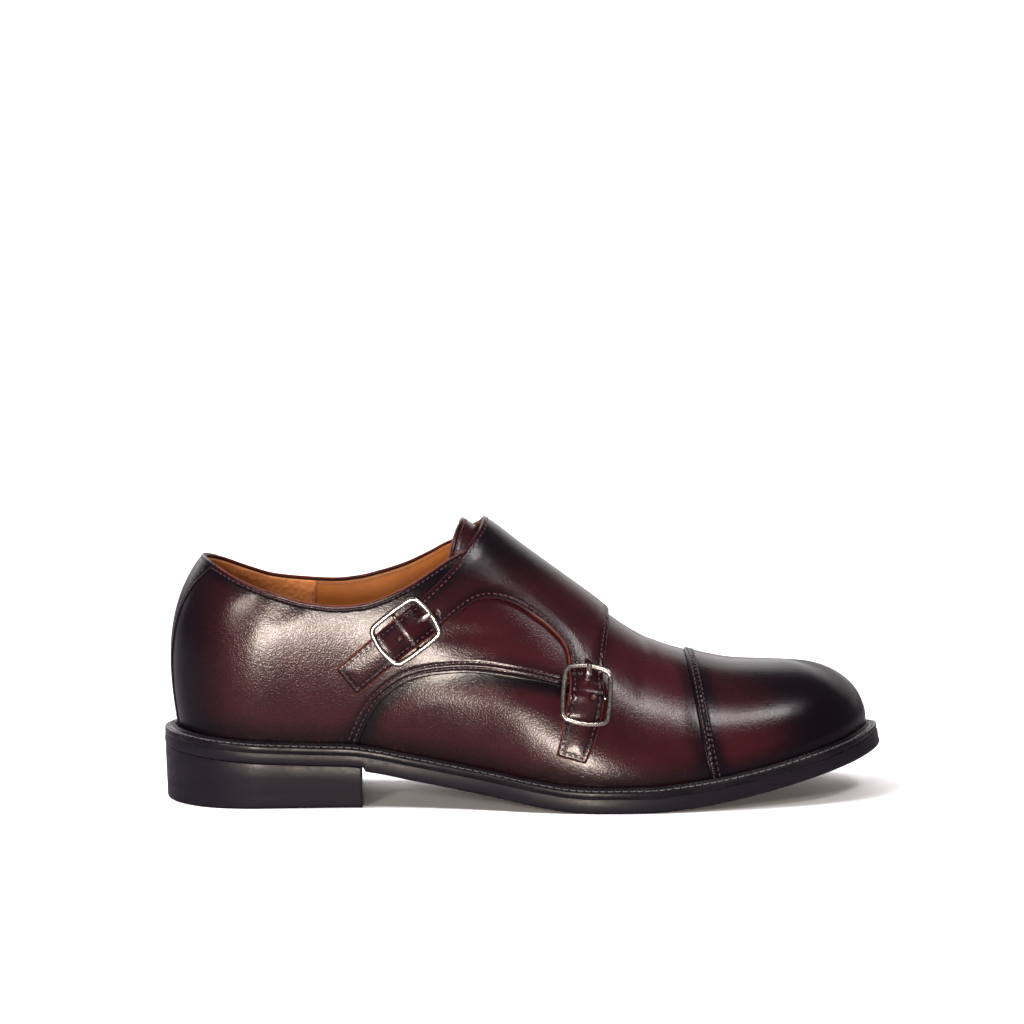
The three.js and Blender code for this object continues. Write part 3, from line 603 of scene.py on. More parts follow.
BURGUNDY = (0.0260, 0.0048, 0.0066)
DEEP_BURGUNDY = (0.0185, 0.0040, 0.0056)
BURNISH = (0.0028, 0.0018, 0.0030)
RAW_EDGE = (0.085, 0.018, 0.011)
calf = polished_leather("burgundy_calf", BURGUNDY, DEEP_BURGUNDY, BURNISH, RAW_EDGE, 0.205, 1550.0, 0.062,
                        0.11, 0.17)
cap_calf = polished_leather("toe_cap_calf", BURGUNDY, DEEP_BURGUNDY, BURNISH, RAW_EDGE, 0.195, 1550.0,
                            0.06, 0.11, 0.14)
TAN = (0.36, 0.128, 0.026)
DEEP_TAN = (0.29, 0.095, 0.018)
lining_hide = polished_leather("tan_lining", TAN, DEEP_TAN, (0.10, 0.035, 0.012), TAN, 0.5, 900.0,
                               0.06, 0.0, 0.3)
suede_hide = polished_leather("heel_suede", (0.52, 0.215, 0.075), (0.36, 0.14, 0.045),
                              (0.16, 0.06, 0.02), TAN, 0.9, 520.0, 0.7, 0.0, 0.2)
print("leathers:", calf.name, cap_calf.name, lining_hide.name, suede_hide.name)

# %% [markdown]
# ## Distances on the last
# Sewing lines, rolled edges and burnish all follow the edge of a piece at a set distance. Two
# helpers do that: one measures how far places are from a line, and one draws a line at a
# distance beside another.

# %% Distance from a line, and a line beside a line
BLOCK = 4000  # points handled at once, so the arrays of gaps stay small


def blocks(points):
    """The points in parts of one block each."""
    return [points[start:start + BLOCK] for start in range(0, len(points), BLOCK)]


def distance_to(points, line):
    """Least distance from each point to a line of points, with each stretch of it straight."""
    start, run = line[:-1], np.diff(line, axis=0)
    size = (run ** 2).sum(1)
    found = []
    for part in blocks(points):
        apart = part[:, None] - start[None]
        share = np.clip((apart * run[None]).sum(2) / size[None], 0, 1)
        gap = apart - share[..., None] * run[None]
        found.append(np.sqrt((gap ** 2).sum(2).min(1)))
    return np.concatenate(found)


def beside(line, distance):
    """The (s, w) line moved sideways over the last by a distance in mm, to the side of
    increasing w where the line runs towards increasing s. The step in s and w that gives a
    given move is found from the two slopes by least squares."""
    line = np.asarray(line, float)
    run = np.gradient(on_last(*line.T), axis=0)
    side = np.cross(normal_at(*line.T), run)
    side = side / np.linalg.norm(side, axis=1, keepdims=True) * np.asarray(distance).reshape(-1, 1)
    along, up = slopes(*line.T)
    aa, bb, ab = (along ** 2).sum(1), (up ** 2).sum(1), (along * up).sum(1)
    sa, sb = (side * along).sum(1), (side * up).sum(1)
    whole = aa * bb - ab ** 2
    return line + np.stack([(sa * bb - sb * ab) / whole, (sb * aa - sa * ab) / whole], 1)


def evenly(line, pitch=None, count=None):
    """Places along an (s, w) line at equal distances over the last."""
    reach = reach_of(on_last(*line.T))
    if count is None:
        count = max(int(round(reach[-1] / pitch)) + 1, 2)
    at = np.linspace(0, reach[-1], count)
    return np.stack([np.interp(at, reach, line[:, k]) for k in (0, 1)], 1)


def mirrored(line):
    """The same line on the other side of the shoe."""
    return np.stack([line[:, 0], 2 - line[:, 1]], 1)


def rolled(distance, radius, thickness):
    """Height of a leather piece's face near its edge: a quarter round of that radius, which
    starts at the edge at thickness less radius and is level further in."""
    inside = np.clip(1 - distance / radius, 0, 1)
    return thickness - radius * (1 - np.sqrt(1 - inside ** 2 * 0.96))


def groove(distance, width, depth):
    """A soft trough along a line: a cosine bell that is gone at half the width."""
    return -depth * (0.5 + 0.5 * np.cos(np.pi * np.clip(2 * distance / width, 0, 1)))


print("line helpers ready")

# %% [markdown]
# ## Seams
# The vamp is the front piece. Two quarters wrap the heel and lie over the vamp, with a double
# row of stitches along their lower front edge. A cap lies over the toe. A narrow strip at the
# back of the heel covers the quarters' join. These edges are lines of places (s, w).

# %% The lines that the pieces meet at
QUARTER_SEAM = np.array([  # from the foot behind the arch, up and forward under the front strap
    [0.292, -0.03], [0.297, 0.0], [0.303, 0.05], [0.310, 0.10], [0.320, 0.15], [0.330, 0.182],
    [0.342, 0.212], [0.362, 0.243], [0.390, 0.273], [0.440, 0.322], [0.480, 0.366],
    [0.505, 0.392], [0.530, 0.42]])
CAP_SEAM_FOOT = 0.672
CAP_SEAM_CREST = 0.649
BACK_STAY = np.array([  # half of the strip at the heel back, from the welt to the collar
    [0.018, -0.01], [0.019, 0.08], [0.019, 0.16], [0.021, 0.26], [0.027, 0.35], [0.033, 0.43],
    [0.042, 0.50], [0.056, 0.57], [0.074, 0.62], [0.085, 0.66]])


def cap_seam_s(v):
    """s of the cap's seam at a share v of a rib: it runs back towards the crest as a parabola."""
    return CAP_SEAM_CREST + (CAP_SEAM_FOOT - CAP_SEAM_CREST) * (1 - v) ** 2


quarter_seam = through(QUARTER_SEAM, 1.2)
cap_w = np.linspace(-0.03, 2.03, 160)
cap_seam = np.stack([cap_seam_s(np.where(cap_w <= 1, cap_w, 2 - cap_w)), cap_w], 1)
quarter_seams_3d = [on_last(*line.T) for line in (quarter_seam, mirrored(quarter_seam))]
print("quarter seam:", len(quarter_seam), "places; cap seam:", len(cap_seam), "places")


def seam_distance(points):
    """Distance to the nearer quarter seam."""
    return np.minimum(*(distance_to(points, line) for line in quarter_seams_3d))


def height_over_welt(points):
    return points[:, 2] - edge_height(points[:, 0])


def near(distance, start, end):
    """1 where distance is under start, and soft to 0 at end."""
    return 1 - smoothstep(distance, start, end)


def together(*amounts):
    """Burnish from several causes at once: what none of them leaves bare."""
    bare = 1.0
    for amount in amounts:
        bare = bare * (1 - np.clip(amount, 0, 1))
    return 1 - bare


def body_burnish(points):
    """Burnish of the whole upper: dark over the toe, at the heel back and above the welt."""
    x = points[:, 0]
    return together(0.9 * smoothstep(-x, 106, 145), 0.7 * near(height_over_welt(points), 1, 15))

# %% [markdown]
# ## Creases
# Leather that has been lasted and tried on has soft wrinkles over the joint of the toes and
# behind the cap. Each is a shallow trough along a short line, wide against its depth, so it
# shows only in the light's edge.

# %% Creases as soft troughs
CREASES = [  # places along the trough, width and depth in mm
    ([(0.600, 0.62), (0.606, 0.78), (0.600, 0.95), (0.603, 1.12), (0.598, 1.3)], 9.0, 0.28),
    ([(0.628, 0.55), (0.624, 0.72), (0.629, 0.92)], 7.0, 0.18),
    ([(0.585, 0.45), (0.592, 0.56), (0.590, 0.70)], 7.0, 0.20),
    ([(0.585, 1.52), (0.594, 1.40), (0.590, 1.25)], 7.0, 0.20),
    ([(0.36, 0.36), (0.40, 0.40), (0.44, 0.45), (0.475, 0.52)], 11.0, 0.35),
    ([(0.37, 0.44), (0.41, 0.50), (0.435, 0.56)], 8.0, 0.22),
    ([(0.20, 0.42), (0.245, 0.50), (0.27, 0.60)], 12.0, 0.30),
    ([(0.10, 0.52), (0.15, 0.56), (0.20, 0.60)], 14.0, 0.30),
]


def creased(points):
    """Sum of all troughs at each point."""
    total = np.zeros(len(points))
    for places, width, depth in CREASES:
        line = through(places, 2.0)
        fade = np.linspace(0, 1, len(line))
        deep = depth * np.sin(np.pi * fade)
        gap = np.linalg.norm(points[:, None] - on_last(*line.T)[None], axis=2)
        closest = gap.argmin(1)
        total += groove(gap.min(1), width, 1.0) * deep[closest]
    return total


print(len(CREASES), "creases, the deepest", max(row[2] for row in CREASES), "mm")

# %% [markdown]
# ## Lining, vamp and quarters
# The upper is three layers: outer leather about 1.5 mm thick, and a tan lining inside it. The
# outer leather is the vamp in front and the quarters behind. Where the quarters lie over the
# vamp, the vamp dips under them, so the seam shows a step of one thickness, as skived and
# lapped leather does. Rows of the grid are close together beside an edge, because a rolled
# edge needs points where it bends, and wide apart in the middle.

# %% Sizes of the layers
LEATHER_INNER = -1.45  # inner face of the outer leather, under the last's surface
LINING_OUTER = -1.5
FOOT_W = -0.03  # the sheets run on a little below the welt's top
LAP_DIP = 0.95  # how deep the vamp goes under the quarters
LAP_REACH = 13.0
VAMP_TUCK = 0.05  # share of a rib that the vamp's top stays below the quarters' rim
SEAM_ROLL = 0.45
COLLAR_ROLL = 0.75
SEAM_ROWS = (2.1, 4.3)  # distances of the stitch rows from the quarters' edge
COLLAR_ROW = 1.9
GROOVE_WIDTH = 1.6
GROOVE_DEPTH = 0.26
CLOSE = np.array([0, 0.07, 0.17, 0.32, 0.55, 0.85, 1.2, 1.55, 1.9, 2.25, 2.6, 3.0, 3.45, 3.9,
                  4.3, 4.7, 5.2, 5.9, 6.9])  # distances of the close rows from an edge


def fractions(length, low, high, count):
    """Rows from 0 to 1 for each column: set distances from either end, and even between."""
    length = np.asarray(length, float)[:, None]
    first = low[None] / length
    last = 1 - high[::-1][None] / length
    middle = np.linspace(0, 1, count + 2)[1:-1][None]
    between = first[:, -1:] + (last[:, :1] - first[:, -1:]) * middle
    return np.concatenate([first, between, last], 1)


def sheet(columns, top, share):
    """Places of a sheet: each column runs from the foot up to its top, with a point at each share."""
    return np.repeat(columns, len(share)), (FOOT_W + (top[:, None] - FOOT_W) * share[None]).ravel()


print("close rows out to", CLOSE[-1], "mm from an edge")

# %% Vamp
columns = np.linspace(0.25, 1.75, 330)
top = collar_of(np.where(columns > 1, 2 - columns, columns), columns > 1)
top = top - VAMP_TUCK * near(1 - np.abs(1 - columns), 0.50, 0.53)
share = np.linspace(0, 1, 62)
vamp_s, vamp_w = sheet(columns, top, share)
places = on_last(vamp_s, vamp_w)
to_seam = seam_distance(places)
folded = np.where(vamp_s > 1, 2 - vamp_s, vamp_s)
under = vamp_w > np.interp(folded, *QUARTER_SEAM.T, right=2)
to_seam = np.where(under, 0, to_seam)
to_cap = distance_to(places, on_last(*cap_seam.T))
vamp_lift = creased(places) - LAP_DIP * near(to_seam, 0, LAP_REACH) + 0.3 * near(to_cap, 0, 7)
# The vamp is also darker towards its top, from 60 to 75 mm high.
vamp_burnish = together(
    0.95 * near(to_seam, 0.3, 8), 0.7 * near(to_cap, 0.3, 10), body_burnish(places),
    0.35 * smoothstep(places[:, 2], 60, 75))
leather_shell("vamp", vamp_s, vamp_w, grid_faces(len(columns), len(share)), vamp_lift,
              LEATHER_INNER, [calf], "upper_leather", ("upper",), vamp_burnish)

# %% Quarters: columns lean from the foot and the seam up to the collar
QUARTER_COLUMNS = 165
foot_run = np.stack([np.linspace(0, QUARTER_SEAM[0, 0], 60), np.full(60, FOOT_W)], 1)
low_line = evenly(np.vstack([foot_run[:-1], quarter_seam]), count=QUARTER_COLUMNS)
collar_lines = {}
for side in ("lateral", "medial"):
    s = np.linspace(0, QUARTER_SEAM[-1, 0], 140)
    collar_lines[side] = evenly(np.stack([s, collar_v(s, side)], 1), count=QUARTER_COLUMNS)
both_low, both_top = [
    np.vstack([(medial * [-1, 1])[:0:-1], lateral]) for medial, lateral in
    ((low_line, low_line), (collar_lines["medial"], collar_lines["lateral"]))]
tall = np.linalg.norm(on_last(*both_top.T) - on_last(*both_low.T), axis=1)
rows = fractions(tall, CLOSE, CLOSE, 34)
quarter_s = (both_low[:, None, 0] + (both_top - both_low)[:, None, 0] * rows).ravel()
quarter_w = (both_low[:, None, 1] + (both_top - both_low)[:, None, 1] * rows).ravel()
places = on_last(quarter_s, quarter_w)
collar_3d = on_last(*both_top.T)
to_seam, to_collar = seam_distance(places), distance_to(places, collar_3d)


def quarter_face(to_seam, to_collar):
    """Height of the quarters' face: rolled at the seam and the collar, with stitch grooves."""
    lift = rolled(to_seam, SEAM_ROLL, 0) + rolled(to_collar, COLLAR_ROLL, 0)
    for row in SEAM_ROWS:
        lift = lift + groove(np.abs(to_seam - row), GROOVE_WIDTH, GROOVE_DEPTH)
    return lift + groove(np.abs(to_collar - COLLAR_ROW), GROOVE_WIDTH, GROOVE_DEPTH)


quarter_burnish = together(
    0.8 * near(to_seam, 1, 12), 0.9 * near(to_collar, 1.0, 9) * smoothstep(to_collar, 0.6, 2.0),
    body_burnish(places), 0.55 * near(to_collar, 5, 18) * smoothstep(places[:, 0], -110, -70))
leather_shell("quarters", quarter_s, quarter_w, grid_faces(*rows.shape),
              quarter_face(to_seam, to_collar) + creased(places), LEATHER_INNER, [calf],
              "upper_leather", ("upper",), quarter_burnish, 0.7 * near(to_collar, 0.3, 1.2))

# %% Lining, and the suede behind the heel
LINING_DROP = 0.012  # the lining's top stays this share of the rib below the collar
TOP_CROWDING = 1.25  # rows stand closer together towards the top
columns = np.linspace(-1, 1, 361)
top = collar_of(np.abs(columns), columns < 0)
top = np.where(top < 1, top - LINING_DROP, top)
share = 1 - (1 - np.linspace(0, 1, 40)) ** TOP_CROWDING
lining_s, lining_w = sheet(columns, top, share)
below_top = np.repeat(top, len(share)) - lining_w
leather_shell("lining", lining_s, lining_w, grid_faces(len(columns), len(share)), LINING_OUTER,
              -WALL, [lining_hide], "upper_leather", ("upper",), 0.5 * near(below_top, 0, 0.03))
GRIP_END = 0.257  # s at the front edge of the suede
GRIP_INNER = -2.9
columns = np.linspace(-GRIP_END, GRIP_END, 150)
top = collar_of(np.abs(columns), columns < 0) - LINING_DROP
grip_s, grip_w = sheet(columns, top, share)
grip_line = np.stack([np.full(40, GRIP_END), np.linspace(FOOT_W, top[-1], 40)], 1)
grip_edges = [on_last(*line.T) for line in (grip_line, grip_line * [-1, 1])]
places = on_last(grip_s, grip_w)
to_edge = np.minimum(*(distance_to(places, edge) for edge in grip_edges))
leather_shell("heel_lining", grip_s, grip_w, grid_faces(len(columns), len(share)), -WALL,
              GRIP_INNER + 0.5 * near(to_edge, 0, 1.2), [suede_hide], "upper_leather", (),
              0.7 * near(to_edge, 0.2, 1.6))

# %% [markdown]
# ## Toe cap, back strip and tongue
# The cap is a second layer over the vamp, and its rear edge is sewn with two rows. Between the
# rows the leather is pulled into small puckers, one at each stitch, so the band looks braided.
# The puckers are a wave along the seam, faded in and out across the band.

# %% Toe cap
CAP_ROWS = (1.3, 3.7)  # distances of the two stitch rows from the cap's edge
CAP_ROLL = 0.5
STITCH_PITCH = 2.35
CAP_UNDER = 0.35
CAP_RUN = 95.0  # from the seam to the tip
CAP_CROWDING = 1.05
NO_CLOSE = np.array([0.0])  # for an end of a grid that needs no close rows
cap_rows_w = FOOT_W + (1 - FOOT_W) * (1 - (1 - np.linspace(0, 1, 125)) ** CAP_CROWDING)
cap_edge = cap_seam_s(cap_rows_w)
half = fractions(np.full(len(cap_rows_w), CAP_RUN), CLOSE, NO_CLOSE, 62)
cap_share = np.concatenate([half, 2 - half[:, -2::-1]], 1)
cap_s = (cap_edge[:, None] + (1 - cap_edge[:, None]) * cap_share).ravel()
cap_rib = np.repeat(cap_rows_w, cap_share.shape[1])
places = on_last(cap_s, cap_rib)
to_cap = distance_to(places, on_last(*cap_seam.T))


def along_line(points, line_3d):
    """How far along a line the nearest of its points is."""
    reach = reach_of(line_3d)
    return np.concatenate([reach[((part[:, None] - line_3d[None]) ** 2).sum(2).argmin(1)]
                           for part in blocks(points)])


seam_fine = through(cap_seam[::8], 0.4)
fine_3d = on_last(*seam_fine.T)
band = smoothstep(to_cap, 0.9, 1.7) * near(to_cap, 3.1, 4.2)
pucker = np.cos(2 * np.pi * (along_line(places, fine_3d) / STITCH_PITCH + 0.35 * to_cap / 2.4))
cap_face = (rolled(to_cap, CAP_ROLL, CAP_LIFT) + 0.16 * band * pucker + 0.12 * band
            + sum(groove(np.abs(to_cap - row), 1.3, 0.26) for row in CAP_ROWS))
x = places[:, 0]
height = height_over_welt(places)
# The cap is also darker towards its top, 20 to 34 mm over the welt.
cap_burnish = together(
    0.93 * near(to_cap, 2.5, 12), 0.97 * smoothstep(x + 0.4 * height, 88, 127), 0.85 * near(height, 1, 11),
    0.45 * smoothstep(height, 20, 34))
leather_shell("toe_cap_leather", cap_s, cap_rib, grid_faces(*cap_share.shape), cap_face,
              CAP_UNDER, [cap_calf], "cap_leather", ("toe_cap",), cap_burnish,
              ease=smoothstep(to_cap, 6, 16) * smoothstep(height, 6, 16))

# %% Back strip
STAY_LIFT = 0.5
STAY_RUN = 86.0  # from the welt to the collar
STAY_WIDTH = 14.0
STAY_ROW = 1.4  # distance of the stitch row from the strip's edge
stay_edge = through(BACK_STAY, 1.0)
stay_height = stay_edge[:, 1] / collar_v(stay_edge[:, 0], "lateral")
stay_height = (stay_height - stay_height[0]) / (stay_height[-1] - stay_height[0])
stay_rows = fractions(np.array([STAY_RUN]), NO_CLOSE, CLOSE, 70)[0]
stay_half = np.interp(stay_rows, stay_height, stay_edge[:, 0])
side_rows = CLOSE[:8] / STAY_WIDTH
across = np.concatenate([-1 + side_rows, np.linspace(-0.85, 0.85, 24), 1 - side_rows[::-1]])
stay_s = stay_half[:, None] * across[None]
top = collar_of(np.abs(stay_s), stay_s < 0)
stay_w = FOOT_W + (top - FOOT_W) * stay_rows[:, None]
stay_s, stay_w = stay_s.ravel(), stay_w.ravel()
places = on_last(stay_s, stay_w)
edge = np.stack([stay_half, stay_w.reshape(len(stay_rows), -1)[:, -1]], 1)
stay_lines = [edge, edge * [-1, 1]]
to_side = np.minimum(*(distance_to(places, on_last(*line.T)) for line in stay_lines))
to_collar = distance_to(places, collar_3d)
stay_face = (rolled(to_side, 0.35, STAY_LIFT) + rolled(to_collar, COLLAR_ROLL, 0)
             + groove(np.abs(to_side - STAY_ROW), 1.2, 0.18)
             + groove(np.abs(to_collar - COLLAR_ROW), 1.4, 0.2))
leather_shell("back_strip", stay_s, stay_w, grid_faces(len(stay_rows), len(across)), stay_face,
              -0.9, [calf], "upper_leather", (),
              together(body_burnish(places), 0.9 * near(to_collar, 1, 7), 0.6),
              0.5 * near(to_collar, 0.1, 1.6))

# %% Tongue
TONGUE_TOP = 0.409
TONGUE_SLANT = 0.062
TONGUE_FRONT = 0.49
TONGUE_REACH = 0.42
TONGUE_OUTER = -(WALL + 1.0)
TONGUE_THICK = 2.0
TONGUE_RUN = 26.0
TONGUE_ROW = 2.1
tongue_w = np.linspace(1 - TONGUE_REACH, 1 + TONGUE_REACH, 90)
tongue_back = TONGUE_TOP - TONGUE_SLANT * (np.sqrt(np.clip(1 - tongue_w, 0, 1) ** 2 + 0.006) - 0.077)
tongue_share = fractions(np.full(len(tongue_w), TONGUE_RUN), CLOSE[:14], NO_CLOSE, 14)
tongue_s = (tongue_back[:, None] + (TONGUE_FRONT - tongue_back[:, None]) * tongue_share).ravel()
tongue_rib = np.repeat(tongue_w, tongue_share.shape[1])
tongue_line = np.stack([tongue_back, tongue_w], 1)
places = on_last(tongue_s, tongue_rib)
to_back = distance_to(places, on_last(*tongue_line.T))
tongue_face = rolled(to_back, 0.6, TONGUE_OUTER) + groove(np.abs(to_back - TONGUE_ROW), 1.4, 0.25)
leather_shell("tongue_leather", tongue_s, tongue_rib, grid_faces(*tongue_share.shape), tongue_face,
              TONGUE_OUTER - TONGUE_THICK, [calf, lining_hide], "tongue_leather", ("tongue",),
              0.35 + 0.3 * near(to_back, 0.5, 5), 0.7 * near(to_back, 0, 0.8), inner_kind=1)

# %% [markdown]
# ## Buckles and straps
# Each buckle is a bent wire frame with a bar across its middle. The strap passes over that bar
# and under the ends of the frame, so it rises in a soft hump inside the frame. A prong turns
# on the bar, comes up through a hole in the strap and rests on the frame's upper side. The
# axes of a buckle are worked out at its place on the last, as in the CAD part.

# %% Axes of the two buckles
BUCKLES = {"rear": (-50.6, 72.6, 37.0), "front": (22.5, 45.7, 82.0)}  # x, z, slope in degrees
FRAME_LENGTH = 27.0
FRAME_WIDTH = 21.5
FRAME_CORNER = 4.6
FRAME_BOW = 1.3
WIRE_RADIUS = 1.05
BAR_RADIUS = 0.75
PRONG_RADIUS = 0.85
FRAME_LIFT = 3.6
BAR_LIFT = 1.9
PRONG_ON_BAR = FRAME_LIFT + WIRE_RADIUS + PRONG_RADIUS + 0.3
STRAP_HUMP = 3.6
HUMP_REACH = 10.0


def buckle_axes(x, z, slope):
    """Middle of a buckle on the last, and three axes: up the strap, across it, and out."""
    s, w = locate([[x, z]])[0]
    middle, out = on_last(s, w), normal_at(s, w)
    up = np.array([np.cos(np.radians(slope)), 0, np.sin(np.radians(slope))])
    up = up - up.dot(out) * out
    up = up / np.linalg.norm(up)
    return middle, np.array([up, np.cross(out, up), out])


BUCKLE_AXES = {name: buckle_axes(*place) for name, place in BUCKLES.items()}


def strap_lift(points):
    """Height of the strap's under side over the last: it rises over each centre bar."""
    lift = np.full(len(points), FLAP_GAP)
    for middle, axes in BUCKLE_AXES.values():
        local = (points - middle) @ axes.T
        over = ((np.abs(local[:, 0]) < HUMP_REACH) & (np.abs(local[:, 1]) < FRAME_WIDTH)
                & (np.abs(local[:, 2]) < 12))
        lift += np.where(over, STRAP_HUMP * (0.5 + 0.5 * np.cos(np.pi * local[:, 0] / HUMP_REACH)), 0)
    return lift


for name, (middle, axes) in BUCKLE_AXES.items():
    print(name, "buckle at", np.round(middle, 1).tolist(), "mm")

# %% Outline of the strap flap, run by run, with a corner between two runs
FLAP_FACE = FLAP_GAP + FLAP_THICK
FLAP_REAR_CREST = [0.4235, 1.0]  # where the flap's back and front edges cross the crest
FLAP_FRONT_CREST = [0.5595, 1.0]
BACK_EDGE = [[-18.2, 113.6], [-21.4, 109.8], [-28.3, 101.2], [-35.2, 94.3], [-43.8, 86.6],
             [-62.0, 72.4], [-79.1, 57.4]]
REAR_END = [[-79.1, 57.4], [-71.0, 46.4]]
ARCH = [[-71.0, 46.4], [-54.0, 60.6], [-35.6, 74.7], [-31.9, 78.0], [-27.2, 81.4], [-24.0, 83.6],
        [-20.4, 85.2], [-15.4, 85.7], [-10.8, 85.1], [-6.2, 83.6], [-1.9, 81.3], [2.3, 78.5],
        [6.7, 75.4], [10.7, 71.8], [13.6, 68.7], [15.6, 65.3], [16.4, 59.4], [13.3, 36.2],
        [10.0, 23.4]]
FRONT_END = [[10.0, 23.4], [22.2, 20.2]]
FRONT_EDGE = [[22.2, 20.2], [27.8, 34.0], [30.6, 56.2], [32.9, 67.2], [33.8, 70.2], [34.6, 74.2]]
INNER_EDGE = [[34.6, 74.2], [33.8, 70.2], [32.5, 65.5], [30.5, 61.0], [27.0, 58.2], [22.0, 58.0],
              [16.0, 60.5], [8.0, 66.5], [-4.0, 74.0], [-18.0, 80.0], [-30.0, 84.0], [-36.5, 88.5],
              [-38.5, 94.0], [-36.5, 98.4], [-29.5, 103.8], [-22.4, 110.4], [-18.2, 113.6]]


def flap_run(places, side="lateral", start=(), end=()):
    """One smooth stretch of the outline, with its ends on the crest where they are given."""
    found = locate(places, side, FLAP_FACE)
    return through(np.vstack([*([start] if len(start) else []), found, *([end] if len(end) else [])]), 0.6)


flap_runs = [flap_run(BACK_EDGE, start=FLAP_REAR_CREST), flap_run(REAR_END), flap_run(ARCH),
             flap_run(FRONT_END), flap_run(FRONT_EDGE, end=FLAP_FRONT_CREST),
             flap_run(INNER_EDGE, "medial", FLAP_FRONT_CREST, FLAP_REAR_CREST)]
flap_outline = np.vstack([run[:-1] for run in flap_runs] + [flap_runs[0][:1]])
flap_round = reach_of(on_last(*flap_outline.T))[-1]
print("flap outline:", len(flap_outline), "places,", round(flap_round), "mm round")


# %% Strap flap: the cells of a fine sheet that lie inside the outline
def inside_outline(s, w, line):
    """Even-odd rule: a place is inside if a ray towards larger w crosses the outline an odd
    number of times."""
    a, b = line[:-1], line[1:]
    spans = (a[:, 0] > s[:, None]) != (b[:, 0] > s[:, None])
    run = np.where(spans, b[:, 0] - a[:, 0], 1)
    cross = a[:, 1] + (s[:, None] - a[:, 0]) / run * (b[:, 1] - a[:, 1])
    return ((spans & (cross > w[:, None])).sum(1) % 2).astype(bool)


def nearest_place(points, line):
    """The (s, w) place on the outline that is nearest to each point."""
    line_3d = on_last(*line.T)
    run = np.diff(line_3d, axis=0)
    apart = points[:, None] - line_3d[None, :-1]
    share = np.clip((apart * run).sum(2) / np.maximum((run ** 2).sum(1), 1e-9), 0, 1)
    pick = ((apart - share[..., None] * run) ** 2).sum(2).argmin(1)
    share = share[np.arange(len(points)), pick][:, None]
    return line[pick] * (1 - share) + line[pick + 1] * share


flap_s, flap_w = np.meshgrid(np.linspace(0.255, 0.600, 205), np.linspace(0.05, 1.66, 245), indexing="ij")
cells = grid_faces(*flap_s.shape)
flap_s, flap_w = flap_s.ravel(), flap_w.ravel()
kept = [inside_outline(flap_s[part].mean(1), flap_w[part].mean(1), flap_outline)
        for part in np.array_split(cells, 12)]
cells = cells[np.concatenate(kept)]
used, cells = np.unique(cells, return_inverse=True)
cells = cells.reshape(-1, 4)
flap_s, flap_w = flap_s[used], flap_w[used]
border = np.unique(edge_loops(cells)[0])
snapped = nearest_place(on_last(flap_s[border], flap_w[border]), flap_outline)
flap_s[border], flap_w[border] = snapped.T
places = on_last(flap_s, flap_w)
outline_3d = on_last(*flap_outline.T)
to_edge = distance_to(places, outline_3d)
to_edge[border] = 0
HOLES = {"rear": ((-52.7, 70.3), (-37.9, 79.9)), "front": ((24.9, 45.3), (24.5, 59.0))}
hole_places = np.vstack([locate(pair, "lateral", FLAP_FACE) for pair in HOLES.values()])
to_hole = np.linalg.norm(places[:, None] - on_last(*hole_places.T)[None], axis=2).min(1)
FLAP_ROW = 1.9
FLAP_CROWN = 0.22  # how much the flap swells inside its stitches
HOLE_DEPTH = 1.0
under = strap_lift(places)
flap_face = (under + rolled(to_edge, 0.5, FLAP_THICK) + groove(np.abs(to_edge - FLAP_ROW), 1.5, 0.2)
             + FLAP_CROWN * smoothstep(to_edge, 2.4, 6.5) - HOLE_DEPTH * near(to_hole, 0.45, 1.1))
# The flap is also darker towards its top, from 80 to 103 mm high.
flap_burnish = together(
    0.8 * near(to_edge, 0.8, 6), 0.75 * smoothstep(places[:, 2], 80, 103), 0.25,
    0.9 * near(to_hole, 0.8, 2.2))
cut_edge = near(to_edge, 0.0, 0.38) * (1 - 0.6 * smoothstep(places[:, 2], 70, 84))
leather_shell("strap_flap_leather", flap_s, flap_w, cells, flap_face, under - 0.25,
              [calf, lining_hide], "flap_leather", ("strap_flap",), flap_burnish * (to_edge > 0.05),
              together(cut_edge, 0.8 * near(to_hole, 0.8, 1.3)), inner_kind=1)

# %% Steel wire shapes of a buckle
def turned_profile(path, out, closed):
    """For each point of a path that lies about square to out: the direction across it."""
    run = (np.roll(path, -1, 0) - np.roll(path, 1, 0)) if closed else np.gradient(path, axis=0)
    across = np.cross(run, out)
    across = across / np.linalg.norm(across, axis=1, keepdims=True)
    up = np.cross(across, run)
    return across, up / np.linalg.norm(up, axis=1, keepdims=True)


def rounded_frame(count=112):
    """Middle line of the frame: a rectangle with round corners and bowed short sides."""
    half_length = FRAME_LENGTH / 2 - WIRE_RADIUS - FRAME_BOW
    half_width = FRAME_WIDTH / 2 - WIRE_RADIUS
    corner = FRAME_CORNER - WIRE_RADIUS
    angle = np.linspace(0, 2 * np.pi, count, endpoint=False) + np.pi / count
    turn = np.stack([np.cos(angle), np.sin(angle)], 1)
    flat = np.array([half_length - corner, half_width - corner])
    straight = np.clip(2.2 * turn, -1, 1) * flat  # the straight sides grow out of the corners
    point = straight + corner * turn
    point[:, 0] += np.sign(point[:, 0]) * FRAME_BOW * (1 - (point[:, 1] / half_width) ** 2)
    return np.hstack([point, np.full((count, 1), FRAME_LIFT)])


def spaced(points, count):
    """A smooth path through a few points in space, with places at equal lengths."""
    points = np.asarray(points, float)
    reach = reach_of(points)
    slope = np.gradient(points, reach, axis=0)
    at = np.linspace(0, reach[-1], count)
    k = np.clip(np.searchsorted(reach, at, side="right") - 1, 0, len(points) - 2)
    h = (reach[k + 1] - reach[k])[:, None]
    t = ((at - reach[k])[:, None]) / h
    u = 1 - t
    return (points[k] * (1 + 2 * t) * u * u + points[k + 1] * t * t * (3 - 2 * t)
            + h * (slope[k] * t * u * u - slope[k + 1] * t * t * u))


